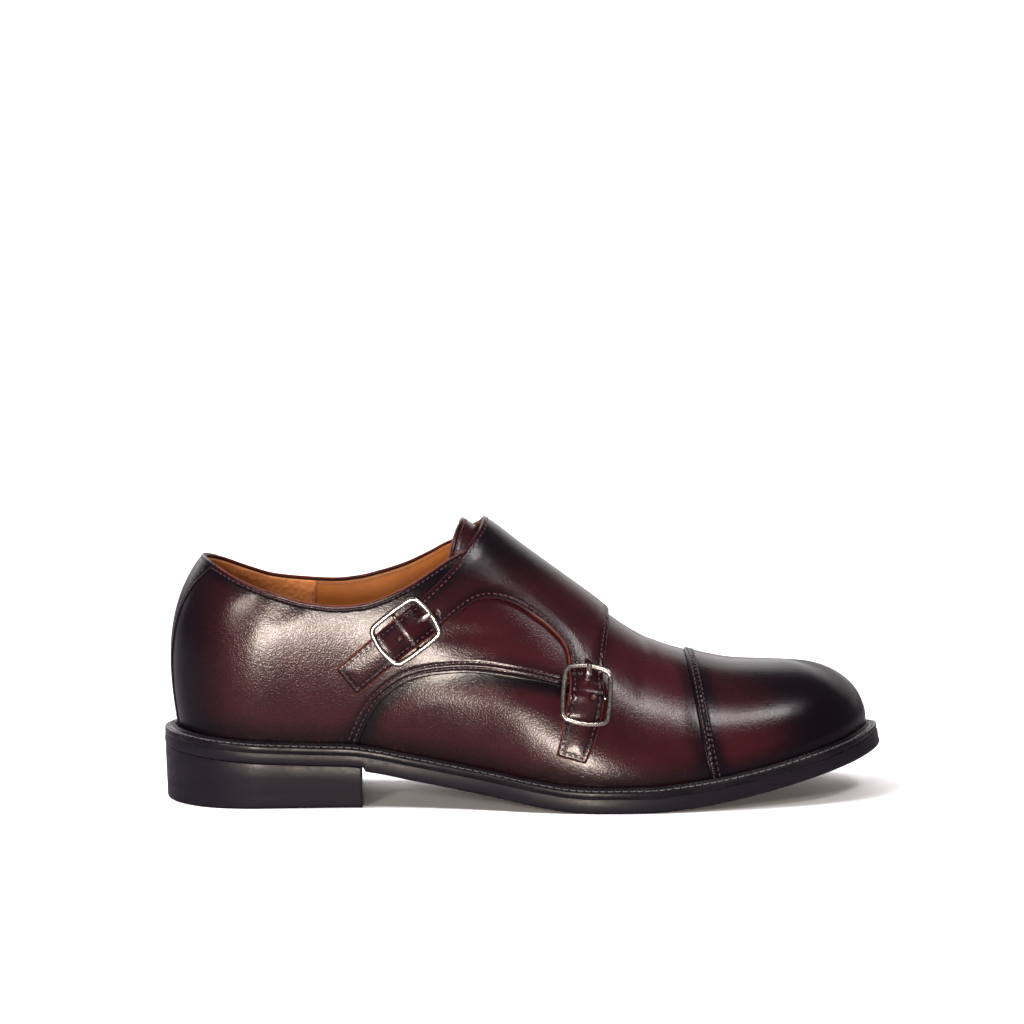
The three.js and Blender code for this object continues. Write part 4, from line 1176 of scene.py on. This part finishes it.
def joined(*meshes):
    """Several sets of points and faces as one."""
    points, faces, start = [], [], 0
    for part_points, part_faces in meshes:
        points.append(part_points)
        faces.append(part_faces + start)
        start += len(part_points)
    return np.vstack(points), np.vstack(faces)


def tapered(points, path, shares):
    """Scales each ring of a swept wire about its path by that ring's share. The last two points
    are the middles of the ends."""
    rings = points[:-2].reshape(len(path), -1, 3)
    rings = path[:, None] + (rings - path[:, None]) * np.asarray(shares)[:, None, None]
    return np.vstack([rings.reshape(-1, 3), points[-2:]])


# %% Polished steel, with hair scratches that turn with the wire's place
steel, tree, shader, place = new_material("polished_steel", 1.0)
streak = noise(tree, place, 900.0, 2.0, 0.6)
tint = noise(tree, place, 60.0, 2.0, 0.5)
two_shades(tree, shader, tint, 0.35, 0.65, (0.60, 0.52, 0.455), (0.40, 0.345, 0.32))
tree.links.new(ramp(tree, streak, 0.2, 0.8, 0.22, 0.30), shader.inputs["Roughness"])
give_bump(tree, shader, streak, 0.01, 0.4)
print("buckle metal:", steel.name)

# %% Frames, bars and prongs
ALONG, ACROSS, OUT = np.eye(3)
FRAME_SECTION = circle(WIRE_RADIUS, 14) * [1.0, 0.92]
PRONG_SECTION = circle(PRONG_RADIUS, 12) * [0.85, 1.55]
PRONG_TAPER = 0.18
reach = FRAME_WIDTH / 2 - WIRE_RADIUS
BAR_PATH = [[0, -reach, FRAME_LIFT - 0.5], [0, 1.2 - reach, BAR_LIFT + 0.3], [0, 3 - reach, BAR_LIFT],
            [0, reach - 3, BAR_LIFT], [0, reach - 1.2, BAR_LIFT + 0.3], [0, reach, FRAME_LIFT - 0.5]]
PRONG_PATH = [[1.4, 0, BAR_LIFT + 0.1], [5.0, 0, BAR_LIFT + 0.15], [7.2, 0, 3.3], [8.8, 0, 5.2],
              [11.1, 0, PRONG_ON_BAR - 0.3], [12.7, 0, PRONG_ON_BAR - 0.3]]


def placed(points, middle, axes):
    """From a buckle's own axes to the shoe's."""
    return middle + points @ axes


for name, (middle, axes) in BUCKLE_AXES.items():
    ring = rounded_frame()
    parts = [swept(ring, *turned_profile(ring, OUT, True), FRAME_SECTION, True)]
    bar = spaced(BAR_PATH, 40)
    parts.append(swept(bar, *turned_profile(bar, ALONG, False), circle(BAR_RADIUS, 12), False))
    points, faces = joined(*parts)
    make_piece(f"{name}_buckle_steel", placed(points, middle, axes), faces, [steel], "steel",
               (f"{name}_buckle",))
    prong = spaced(PRONG_PATH, 30)
    points, faces = swept(prong, *turned_profile(prong, ACROSS, False), PRONG_SECTION, False)
    points = tapered(points, prong, 1 - PRONG_TAPER * smoothstep(np.linspace(0, 1, 30), 0.55, 1))
    make_piece(f"{name}_prong_steel", placed(points, middle, axes), faces, [steel], "steel",
               (f"{name}_prong",))

# %% [markdown]
# ## Stitches
# A lockstitch shows as a short, slightly arched piece of thread that dives into the leather at
# both ends. One stitch is a small capsule of five rings. All stitches of one thread are made
# at once from arrays and joined into one mesh, because there are over a thousand of them.

# %% A row of stitches
STITCH_RINGS = np.array([  # place along the stitch as a share, radius as a share, height in radii
    [-0.50, 0.30, -1.1], [-0.36, 0.85, -0.1], [0.0, 1.0, 0.25], [0.36, 0.85, -0.1], [0.50, 0.30, -1.1]])
STITCH_SIDES = 6


def stitch_row(line, lift, pitch=STITCH_PITCH, length=1.8, radius=0.34):
    """Stitches at even distances along an (s, w) line, lifted over the last. Each has its own
    axes: along the line, across it, and out of the leather."""
    at = evenly(line, pitch=pitch)
    middle = (at[1:] + at[:-1]) / 2
    centre, out = on_last(*middle.T), normal_at(*middle.T)
    heights = lift(centre) if callable(lift) else lift
    centre = centre + out * np.broadcast_to(heights, len(centre))[:, None]
    run = on_last(*at[1:].T) - on_last(*at[:-1].T)
    run = run - out * (run * out).sum(1, keepdims=True)
    run = run / np.linalg.norm(run, axis=1, keepdims=True)
    return stitches_at(centre, run, np.cross(out, run), out, length, radius)


def stitches_at(centre, run, across, out, length, radius):
    """One capsule at each centre: rings of points, then a middle point at each end."""
    section = circle(1.0, STITCH_SIDES)
    rings = STITCH_RINGS
    local = np.concatenate([
        np.stack([np.repeat(rings[:, :1] * length, STITCH_SIDES, 1),
                  rings[:, 1:2] * radius * section[None, :, 0],
                  rings[:, 1:2] * radius * section[None, :, 1] + rings[:, 2:] * radius], -1).reshape(-1, 3),
        [[-0.53 * length, 0, -1.2 * radius], [0.53 * length, 0, -1.2 * radius]]])
    points = (centre[:, None] + local[None, :, :1] * run[:, None] + local[None, :, 1:2] * across[:, None]
              + local[None, :, 2:] * out[:, None])
    index = closed_index(len(rings), STITCH_SIDES)
    hub = len(rings) * STITCH_SIDES
    one = np.vstack([band_faces(index), fan_faces(index[0], hub), fan_faces(index[-1][::-1], hub + 1)])
    faces = (one[None] + np.arange(len(centre))[:, None, None] * len(local)).reshape(-1, 4)
    return points.reshape(-1, 3), faces


def thread_material(name, shade, deep, rough):
    """Waxed thread: two shades in short turns of the twist, and a soft sheen."""
    material, tree, shader, place = new_material(name)
    twist = noise(tree, place, 2400.0, 2.0, 0.5)
    two_shades(tree, shader, twist, 0.35, 0.65, shade, deep)
    tree.links.new(ramp(tree, twist, 0.2, 0.8, rough - 0.1, rough + 0.1), shader.inputs["Roughness"])
    give_bump(tree, shader, twist, 0.08, 0.8)
    return material


wine_thread = thread_material("wine_thread", (0.10, 0.012, 0.022), (0.03, 0.004, 0.008), 0.5)
dark_thread = thread_material("dark_thread", (0.055, 0.020, 0.026), (0.018, 0.007, 0.010), 0.45)
tan_thread = thread_material("tan_thread", (0.25, 0.10, 0.03), (0.12, 0.045, 0.012), 0.6)
# The welt thread's light grey is painted highlight: it stands for the glints of the stitches along the dark
# ledge.
welt_thread = thread_material("welt_thread", (0.15, 0.14, 0.14), (0.04, 0.037, 0.04), 0.32)

# %% Stitch rows on the leather
SUNK = 0.02 - GROOVE_DEPTH * 0.7  # a stitch lies in its groove
seam_path = quarter_seam[quarter_seam[:, 1] > 0.004]
dark_rows, wine_rows = [], []
for side in (1, -1):
    lateral = seam_path if side == 1 else mirrored(seam_path)
    for row in SEAM_ROWS:
        dark_rows.append(stitch_row(beside(lateral, row * side), SUNK))
for side, line in collar_lines.items():
    used = line[(line[:, 0] > 0.002) & (line[:, 0] < 0.5)]
    used = used if side == "lateral" else mirrored(used)
    dark_rows.append(stitch_row(beside(used, -COLLAR_ROW if side == "lateral" else COLLAR_ROW), SUNK))
for row in CAP_ROWS:
    used = cap_seam[(cap_seam[:, 1] > 0.004) & (cap_seam[:, 1] < 1.996)]
    moved = beside(used, -row)
    dark_rows.append(stitch_row(moved, CAP_LIFT + SUNK))
for side in (1, -1):
    used = beside(stay_edge[stay_edge[:, 1] > 0.01], STAY_ROW)
    used = used[used[:, 1] < collar_v(used[:, 0], "lateral") - 0.035]
    dark_rows.append(stitch_row(used if side == 1 else mirrored(used), STAY_LIFT + SUNK))
make_piece("dark_stitches", *joined(*dark_rows), [dark_thread], "upper_leather")


def flap_top(points):
    return strap_lift(points) + FLAP_THICK + SUNK


for run in flap_runs:
    moved = beside(run, FLAP_ROW)
    wrong = ~inside_outline(*moved[len(moved) // 2][:, None], flap_outline)[0]
    moved = beside(run, -FLAP_ROW) if wrong else moved
    clear = distance_to(on_last(*moved.T), outline_3d) > FLAP_ROW - 0.35
    moved = moved[clear]
    wine_rows.append(stitch_row(moved, flap_top))
wine_rows.append(stitch_row(beside(tongue_line[2:-2], -TONGUE_ROW), TONGUE_OUTER + SUNK))
make_piece("wine_stitches", *joined(*wine_rows), [wine_thread], "flap_leather")
rim_rows = [stitch_row(beside(line if side == "lateral" else mirrored(line),
                              (-1 if side == "lateral" else 1) * 2.4)[3:-20], -WALL - 0.02)
            for side, line in collar_lines.items()]
grip_rows = [stitch_row(np.stack([np.full(40, (GRIP_END - 0.004) * sign),
                                  np.linspace(0.05, collar_v(GRIP_END, side) - 0.045, 40)], 1),
                        GRIP_INNER + 0.1, pitch=3.0)
             for sign, side in ((1, "lateral"), (-1, "medial"))]
make_piece("lining_stitches", *joined(*rim_rows, *grip_rows), [tan_thread], "upper_leather")

# %% [markdown]
# ## Welt, sole and heel
# A storm welt is a strip that is sewn to the sole all the way round. A ribbed bead on it closes
# the crack at the upper's foot, and a row of heavy stitches lies on its ledge. The sole and
# heel are stacked rubber with scraped and inked edges. All are profiles carried round the
# same outline.

# %% Black edges and rubber
def edge_material(name, shade, deep, rough, streaks, depth):
    """Inked edge or rubber: faint long scrapes from the trimming knife, and dull specks."""
    material, tree, shader, place = new_material(name, Specular_IOR_Level=0.11)
    stretched = add_node(tree, "ShaderNodeMapping", {"Vector": place, "Scale": (60, 60, streaks)}).outputs[0]
    scrape = noise(tree, stretched, 1.0, 4.0, 0.6)
    specks = noise(tree, place, 800.0, 2.0, 0.6)
    two_shades(tree, shader, scrape, 0.3, 0.7, shade, deep)
    tree.links.new(maths(tree, "ADD", ramp(tree, scrape, 0.2, 0.8, rough - 0.08, rough + 0.06),
                         ramp(tree, specks, 0.4, 0.8, 0.0, 0.08)), shader.inputs["Roughness"])
    give_bump(tree, shader, maths(tree, "ADD", scrape, specks), depth)
    return material


welt_black = edge_material("welt_black", (0.009, 0.0075, 0.0095), (0.004, 0.0036, 0.005), 0.25,
                           300.0, 0.04)
sole_black = edge_material("sole_black", (0.0085, 0.0072, 0.0105), (0.0065, 0.0056, 0.0084), 0.33,
                           500.0, 0.02)

# %% Welt with a ribbed bead
WELT_SECTION = np.array([  # inset from the sole's edge, and height over it
    [0.0, -2.92], [0.0, -1.6], [0.02, -0.75], [0.12, -0.3], [0.32, -0.06], [0.6, 0.02], [1.0, 0.04],
    [1.35, 0.02], [1.6, -0.12], [1.85, -0.2], [2.1, -0.12], [2.35, 0.02], [2.9, 0.03], [3.2, 0.12],
    [3.32, 0.42], [3.45, 0.8], [3.68, 1.12], [4.0, 1.32], [4.25, 1.34], [4.5, 1.2], [4.72, 0.9],
    [4.85, 0.5], [4.98, 0.12], [5.3, 0.02], [5.72, 0.0], [5.72, -2.92]])
WELT_STATIONS = 1500
RIB_PITCH = 2.3
RIB_SLANT = 0.42
RIB_HALF_DEPTH = 0.13
WELT_STITCH = {"pitch": 3.1, "length": 2.5, "radius": 0.36, "inset": 1.85, "sunk": 0.02}
dense = np.linspace(0, 2, 3001)
plan = outline(dense, 0.0)[0]
plan_reach = reach_of(plan)
stations = np.interp(np.linspace(0, plan_reach[-1], WELT_STATIONS, endpoint=False), plan_reach, dense)
station_reach = np.interp(stations, dense, plan_reach)
inset, lift = WELT_SECTION.T
ribbed = smoothstep(inset, 3.2, 3.45) * near(inset, 4.75, 5.0) * smoothstep(lift, 0.1, 0.9)
ribs = round(plan_reach[-1] / RIB_PITCH)
wave = np.cos(2 * np.pi * (station_reach[:, None] / plan_reach[-1] * ribs + RIB_SLANT * inset[None]))
grid_s, grid_inset = np.broadcast_arrays(stations[:, None], inset[None])
xy = outline(grid_s, 0.0, grid_inset)[0]
z = edge_height(xy[..., 0]) + lift[None] - RIB_HALF_DEPTH * ribbed[None] * (1 - wave)
loop = np.concatenate([xy, z[..., None]], -1)
make_piece("welt_bead", loop.reshape(-1, 3), band_faces(closed_index(*loop.shape[:2], True)),
           [welt_black], "welt_rubber", ("welt",))
count = round(plan_reach[-1] / WELT_STITCH["pitch"])
stitch_s = np.interp((np.arange(count) + 0.5) / count * plan_reach[-1], plan_reach, dense)


def on_ledge(s):
    """Places of the stitches on the welt's ledge."""
    xy = outline(s, 0.0, np.full(len(s), WELT_STITCH["inset"]))[0]
    return np.column_stack([xy, edge_height(xy[:, 0]) - WELT_STITCH["sunk"]])


centre = on_ledge(stitch_s)
run = on_ledge(stitch_s + 1e-3) - centre
run = run / np.linalg.norm(run, axis=1, keepdims=True)
across = np.column_stack([outline(stitch_s, 0.0)[1], np.zeros(count)])
make_piece("welt_stitches", *stitches_at(centre, run, across, np.cross(run, across),
                                         WELT_STITCH["length"], WELT_STITCH["radius"]),
           [welt_thread], "welt_rubber")

# %% Slabs of the sole: rings round the edge, closed across the top and the bottom
BOTTOM_COUNT = 14


def station_at(x):
    """s where the outer side of the outline is at x, by halving."""
    low, high = 0.0, 1.0
    for _ in range(40):
        s = (low + high) / 2
        low, high = (low, s) if foot_line(np.array(s), np.array(0.0))[0] > x else (s, high)
    return low


def slab(stations, rings, front=None):
    """Points of a solid whose side is a stack of rings, from the top down: each ring is an
    inset from the outline for each station, and a height as a function of x. Straight lines
    join the two sides over the bottom and over the top."""
    sides = []
    for w in (0.0, 2.0):
        rows = []
        for inset, height in rings:
            xy = outline(stations, w, np.broadcast_to(inset, len(stations)))[0]
            rows.append(np.column_stack([xy, height(xy[:, 0])]))
        sides.append(rows)
    share = np.linspace(0, 1, BOTTOM_COUNT)[1:-1]

    def across(start, end, height):
        rows = [start + (end - start) * f for f in share]
        return [np.column_stack([row[:, :2], height(row[:, 0])]) for row in rows]

    around = [*sides[0], *across(sides[0][-1], sides[1][-1], rings[-1][1]), *sides[1][::-1],
              *across(sides[1][0], sides[0][0], rings[0][1])]
    points = np.stack(around, 1)
    if front is not None:
        points[..., 0] = np.minimum(points[..., 0], front)
    index = closed_index(*points.shape[:2])
    faces = band_faces(index)
    flat = points.reshape(-1, 3)
    if front is not None:
        faces = np.vstack([faces, fan_faces(index[-1][::-1], len(flat))])
        flat = np.vstack([flat, points[-1].mean(0)])
    first, faces = join_doubles(flat, faces)
    return flat[first], faces


# %% Outsole, heel and insole
TOE_FLARE = 1.4
SOLE_CHAMFER = 0.8
SEAT_STEP = (HEEL_BREAST + 0.3, HEEL_BREAST + 1.3)
HEEL_TAPER = 0.9


def underside(x):
    """Height of the outsole's lower face: thinner over the heel than ahead of it."""
    share = np.clip((x - SEAT_STEP[0]) / (SEAT_STEP[1] - SEAT_STEP[0]), 0, 1)
    return edge_height(x) - SEAT_THICK - (EDGE_THICK - SEAT_THICK) * share


def over(base, lift):
    """A height that stands a lift over another."""
    return lambda x: base(x) + lift


steps = [station_at(x) for x in (*SEAT_STEP, SEAT_STEP[0] - 0.5, SEAT_STEP[1] + 0.5)]
sole_s = np.unique(np.concatenate([np.linspace(0, 1, 240), steps]))
flare = -TOE_FLARE * smoothstep(sole_s, 0.72, 1)
sole_rings = [
    (flare / 3 + 0.05, over(edge_height, -WELT_THICK + 0.06)),
    (flare / 3, over(edge_height, -WELT_THICK - 0.1)),
    (flare * 0.66 - 0.12, over(underside, 2.4)),
    (flare - 0.05, over(underside, 1.3)),
    (flare, over(underside, 0.9)),
    (flare + 0.12, over(underside, 0.45)),
    (flare + 0.38, over(underside, 0.14)),
    (flare + SOLE_CHAMFER, underside)]
make_piece("outsole_rubber", *slab(sole_s, sole_rings), [sole_black], "sole_rubber", ("outsole",))
heel_top = over(edge_height, -SEAT_THICK)


def heel_part(share):
    """A height that is a share of the heel's own, so at 0 it is the floor."""
    return lambda x: heel_top(x) * share


heel_s = np.linspace(0, station_at(HEEL_BREAST), 110)
heel_rings = [
    (0.5, over(heel_top, -0.06)), (0.2, over(heel_top, -0.16)), (0.12, over(heel_top, -0.4)),
    (0.35, heel_part(0.66)), (0.6, heel_part(0.36)),
    (0.78, over(heel_part(0), 4.3)), (0.82, over(heel_part(0), 1.2)),
    (HEEL_TAPER, over(heel_part(0), 0.7)), (HEEL_TAPER + 0.2, over(heel_part(0), 0.25)),
    (HEEL_TAPER + SOLE_CHAMFER, heel_part(0))]
make_piece("heel_block", *slab(heel_s, heel_rings, HEEL_BREAST), [sole_black], "heel_rubber", ("heel",))
INSOLE_INSET = LEDGE + WALL + 0.5
insole_s = np.linspace(0, 1, 160)
insole_rings = [
    (INSOLE_INSET + 1.0, over(edge_height, -0.3)), (INSOLE_INSET + 0.2, over(edge_height, -0.5)),
    (INSOLE_INSET, over(edge_height, -0.9)), (INSOLE_INSET, over(edge_height, -2.7))]
make_piece("insole_leather_sock", *slab(insole_s, insole_rings), [lining_hide], "insole_leather",
           ("insole",), {"burnish": 0.0, "raw": 0.0})

# %% [markdown]
# ## Studio
# A white sweep runs under the shoe and up behind it. Polished leather is a dark mirror, so what
# it mirrors is chosen. A low key light in front gives the soft glow on the heel, a light from
# the left fills its back, and one from the right draws the instep. Two wide soft boxes light
# the paper and keep the shadow soft, but they don't show in reflections, and reflections see
# the floor as dim. So the leather stays deep where none of the three lights falls on it.

# %% Sweep
SWEEP_FRONT, SWEEP_BEND, SWEEP_RADIUS, SWEEP_TOP, SWEEP_HALF = -2.2, 1.3, 0.7, 2.6, 3.2  # metres
bend = np.linspace(0, np.pi / 2, 25)
side_line = np.vstack([
    np.column_stack([np.linspace(SWEEP_FRONT, SWEEP_BEND, 12)[:-1], np.zeros(11)]),
    np.column_stack([SWEEP_BEND + SWEEP_RADIUS * np.sin(bend), SWEEP_RADIUS * (1 - np.cos(bend))]),
    [[SWEEP_BEND + SWEEP_RADIUS, SWEEP_TOP]]])
sweep_points = np.stack([np.insert(side_line, 0, x, axis=1) for x in (-SWEEP_HALF, SWEEP_HALF)], 1)
sweep_mesh = bpy.data.meshes.new("floor_sweep")
sweep_mesh.from_pydata(sweep_points.reshape(-1, 3).tolist(), [],
                       grid_faces(len(side_line), 2)[:, ::-1].tolist())
sweep_mesh.polygons.foreach_set("use_smooth", np.ones(len(sweep_mesh.polygons), bool))
sweep = bpy.data.objects.new("floor_sweep", sweep_mesh)
bpy.context.scene.collection.objects.link(sweep)
paper, tree, shader, place = new_material("white_paper", Roughness=0.9)
shader.inputs["Specular IOR Level"].default_value = 0.1
pale = mixed(tree, noise(tree, place, 30.0), (0.90, 0.885, 0.89, 1), (0.91, 0.90, 0.905, 1))
low = ramp(tree, add_node(tree, "ShaderNodeSeparateXYZ", {0: place}).outputs["Z"], 0.1, 0.7, 1.0, 0.0)
reflected = add_node(tree, "ShaderNodeLightPath").outputs["Is Glossy Ray"]
tree.links.new(mixed(tree, maths(tree, "MULTIPLY", low, reflected), pale, (0.16, 0.145, 0.165, 1)),
               shader.inputs["Base Color"])
sweep_mesh.materials.append(paper)
print("sweep:", len(sweep_mesh.polygons), "faces")


# %% Lights
def soft_light(name, place, aim, width, height, power, colour):
    """A soft box: a flat lamp that faces aim."""
    lamp = bpy.data.lights.new(name, "AREA")
    lamp.shape = "RECTANGLE"
    lamp.size, lamp.size_y, lamp.energy, lamp.color = width, height, power, colour
    holder = bpy.data.objects.new(name, lamp)
    holder.location = place
    holder.rotation_euler = (Vector(aim) - Vector(place)).to_track_quat("-Z", "Y").to_euler()
    bpy.context.scene.collection.objects.link(holder)
    return holder


soft_light("key", (-0.22, -2.00, 0.16), (-0.05, 0, 0.05), 0.30, 0.28, 42, (1.0, 0.85, 0.75))
soft_light("left", (-0.80, -1.72, 0.70), (-0.05, 0, 0.05), 0.26, 0.26, 13, (1.0, 0.87, 0.78))
soft_light("side", (0.77, -0.67, 1.57), (0.05, 0, 0.05), 0.30, 0.30, 10, (1.0, 0.96, 0.97))
for box in (
        soft_light("overhead", (-1.3, 0, 2.2), (-0.1, 0.1, 0), 1.1, 1.0, 108, (0.97, 0.98, 1.0)),
        soft_light("backdrop", (0, 0.9, 2.3), (0, 2.0, 0.6), 3.0, 0.6, 45, (1.0, 1.0, 1.0))):
    box.visible_glossy = False
world = bpy.data.worlds.new("dark_room")
world.use_nodes = True
world.node_tree.nodes["Background"].inputs["Color"].default_value = (0.9, 0.93, 1.0, 1)
world.node_tree.nodes["Background"].inputs["Strength"].default_value = 0.12
bpy.context.scene.world = world
bpy.context.scene.view_settings.view_transform = "Standard"

# %% Camera
CAMERA_AIM = Vector((-5.45, 0, 117.8)) * MM
CAMERA_TURN, CAMERA_TILT, CAMERA_AWAY = np.radians(-3), np.radians(7.2), 1682 * MM
lens = bpy.data.cameras.new("camera")
lens.sensor_width, lens.lens = 36, 142.42
camera = bpy.data.objects.new("camera", lens)
camera.location = CAMERA_AIM + CAMERA_AWAY * Vector((
    np.sin(CAMERA_TURN) * np.cos(CAMERA_TILT), -np.cos(CAMERA_TURN) * np.cos(CAMERA_TILT),
    np.sin(CAMERA_TILT)))
camera.rotation_euler = (CAMERA_AIM - camera.location).to_track_quat("-Z", "Y").to_euler()
bpy.context.scene.collection.objects.link(camera)
bpy.context.scene.camera = camera
print("camera:", round(CAMERA_AWAY, 3), "m from its aim")
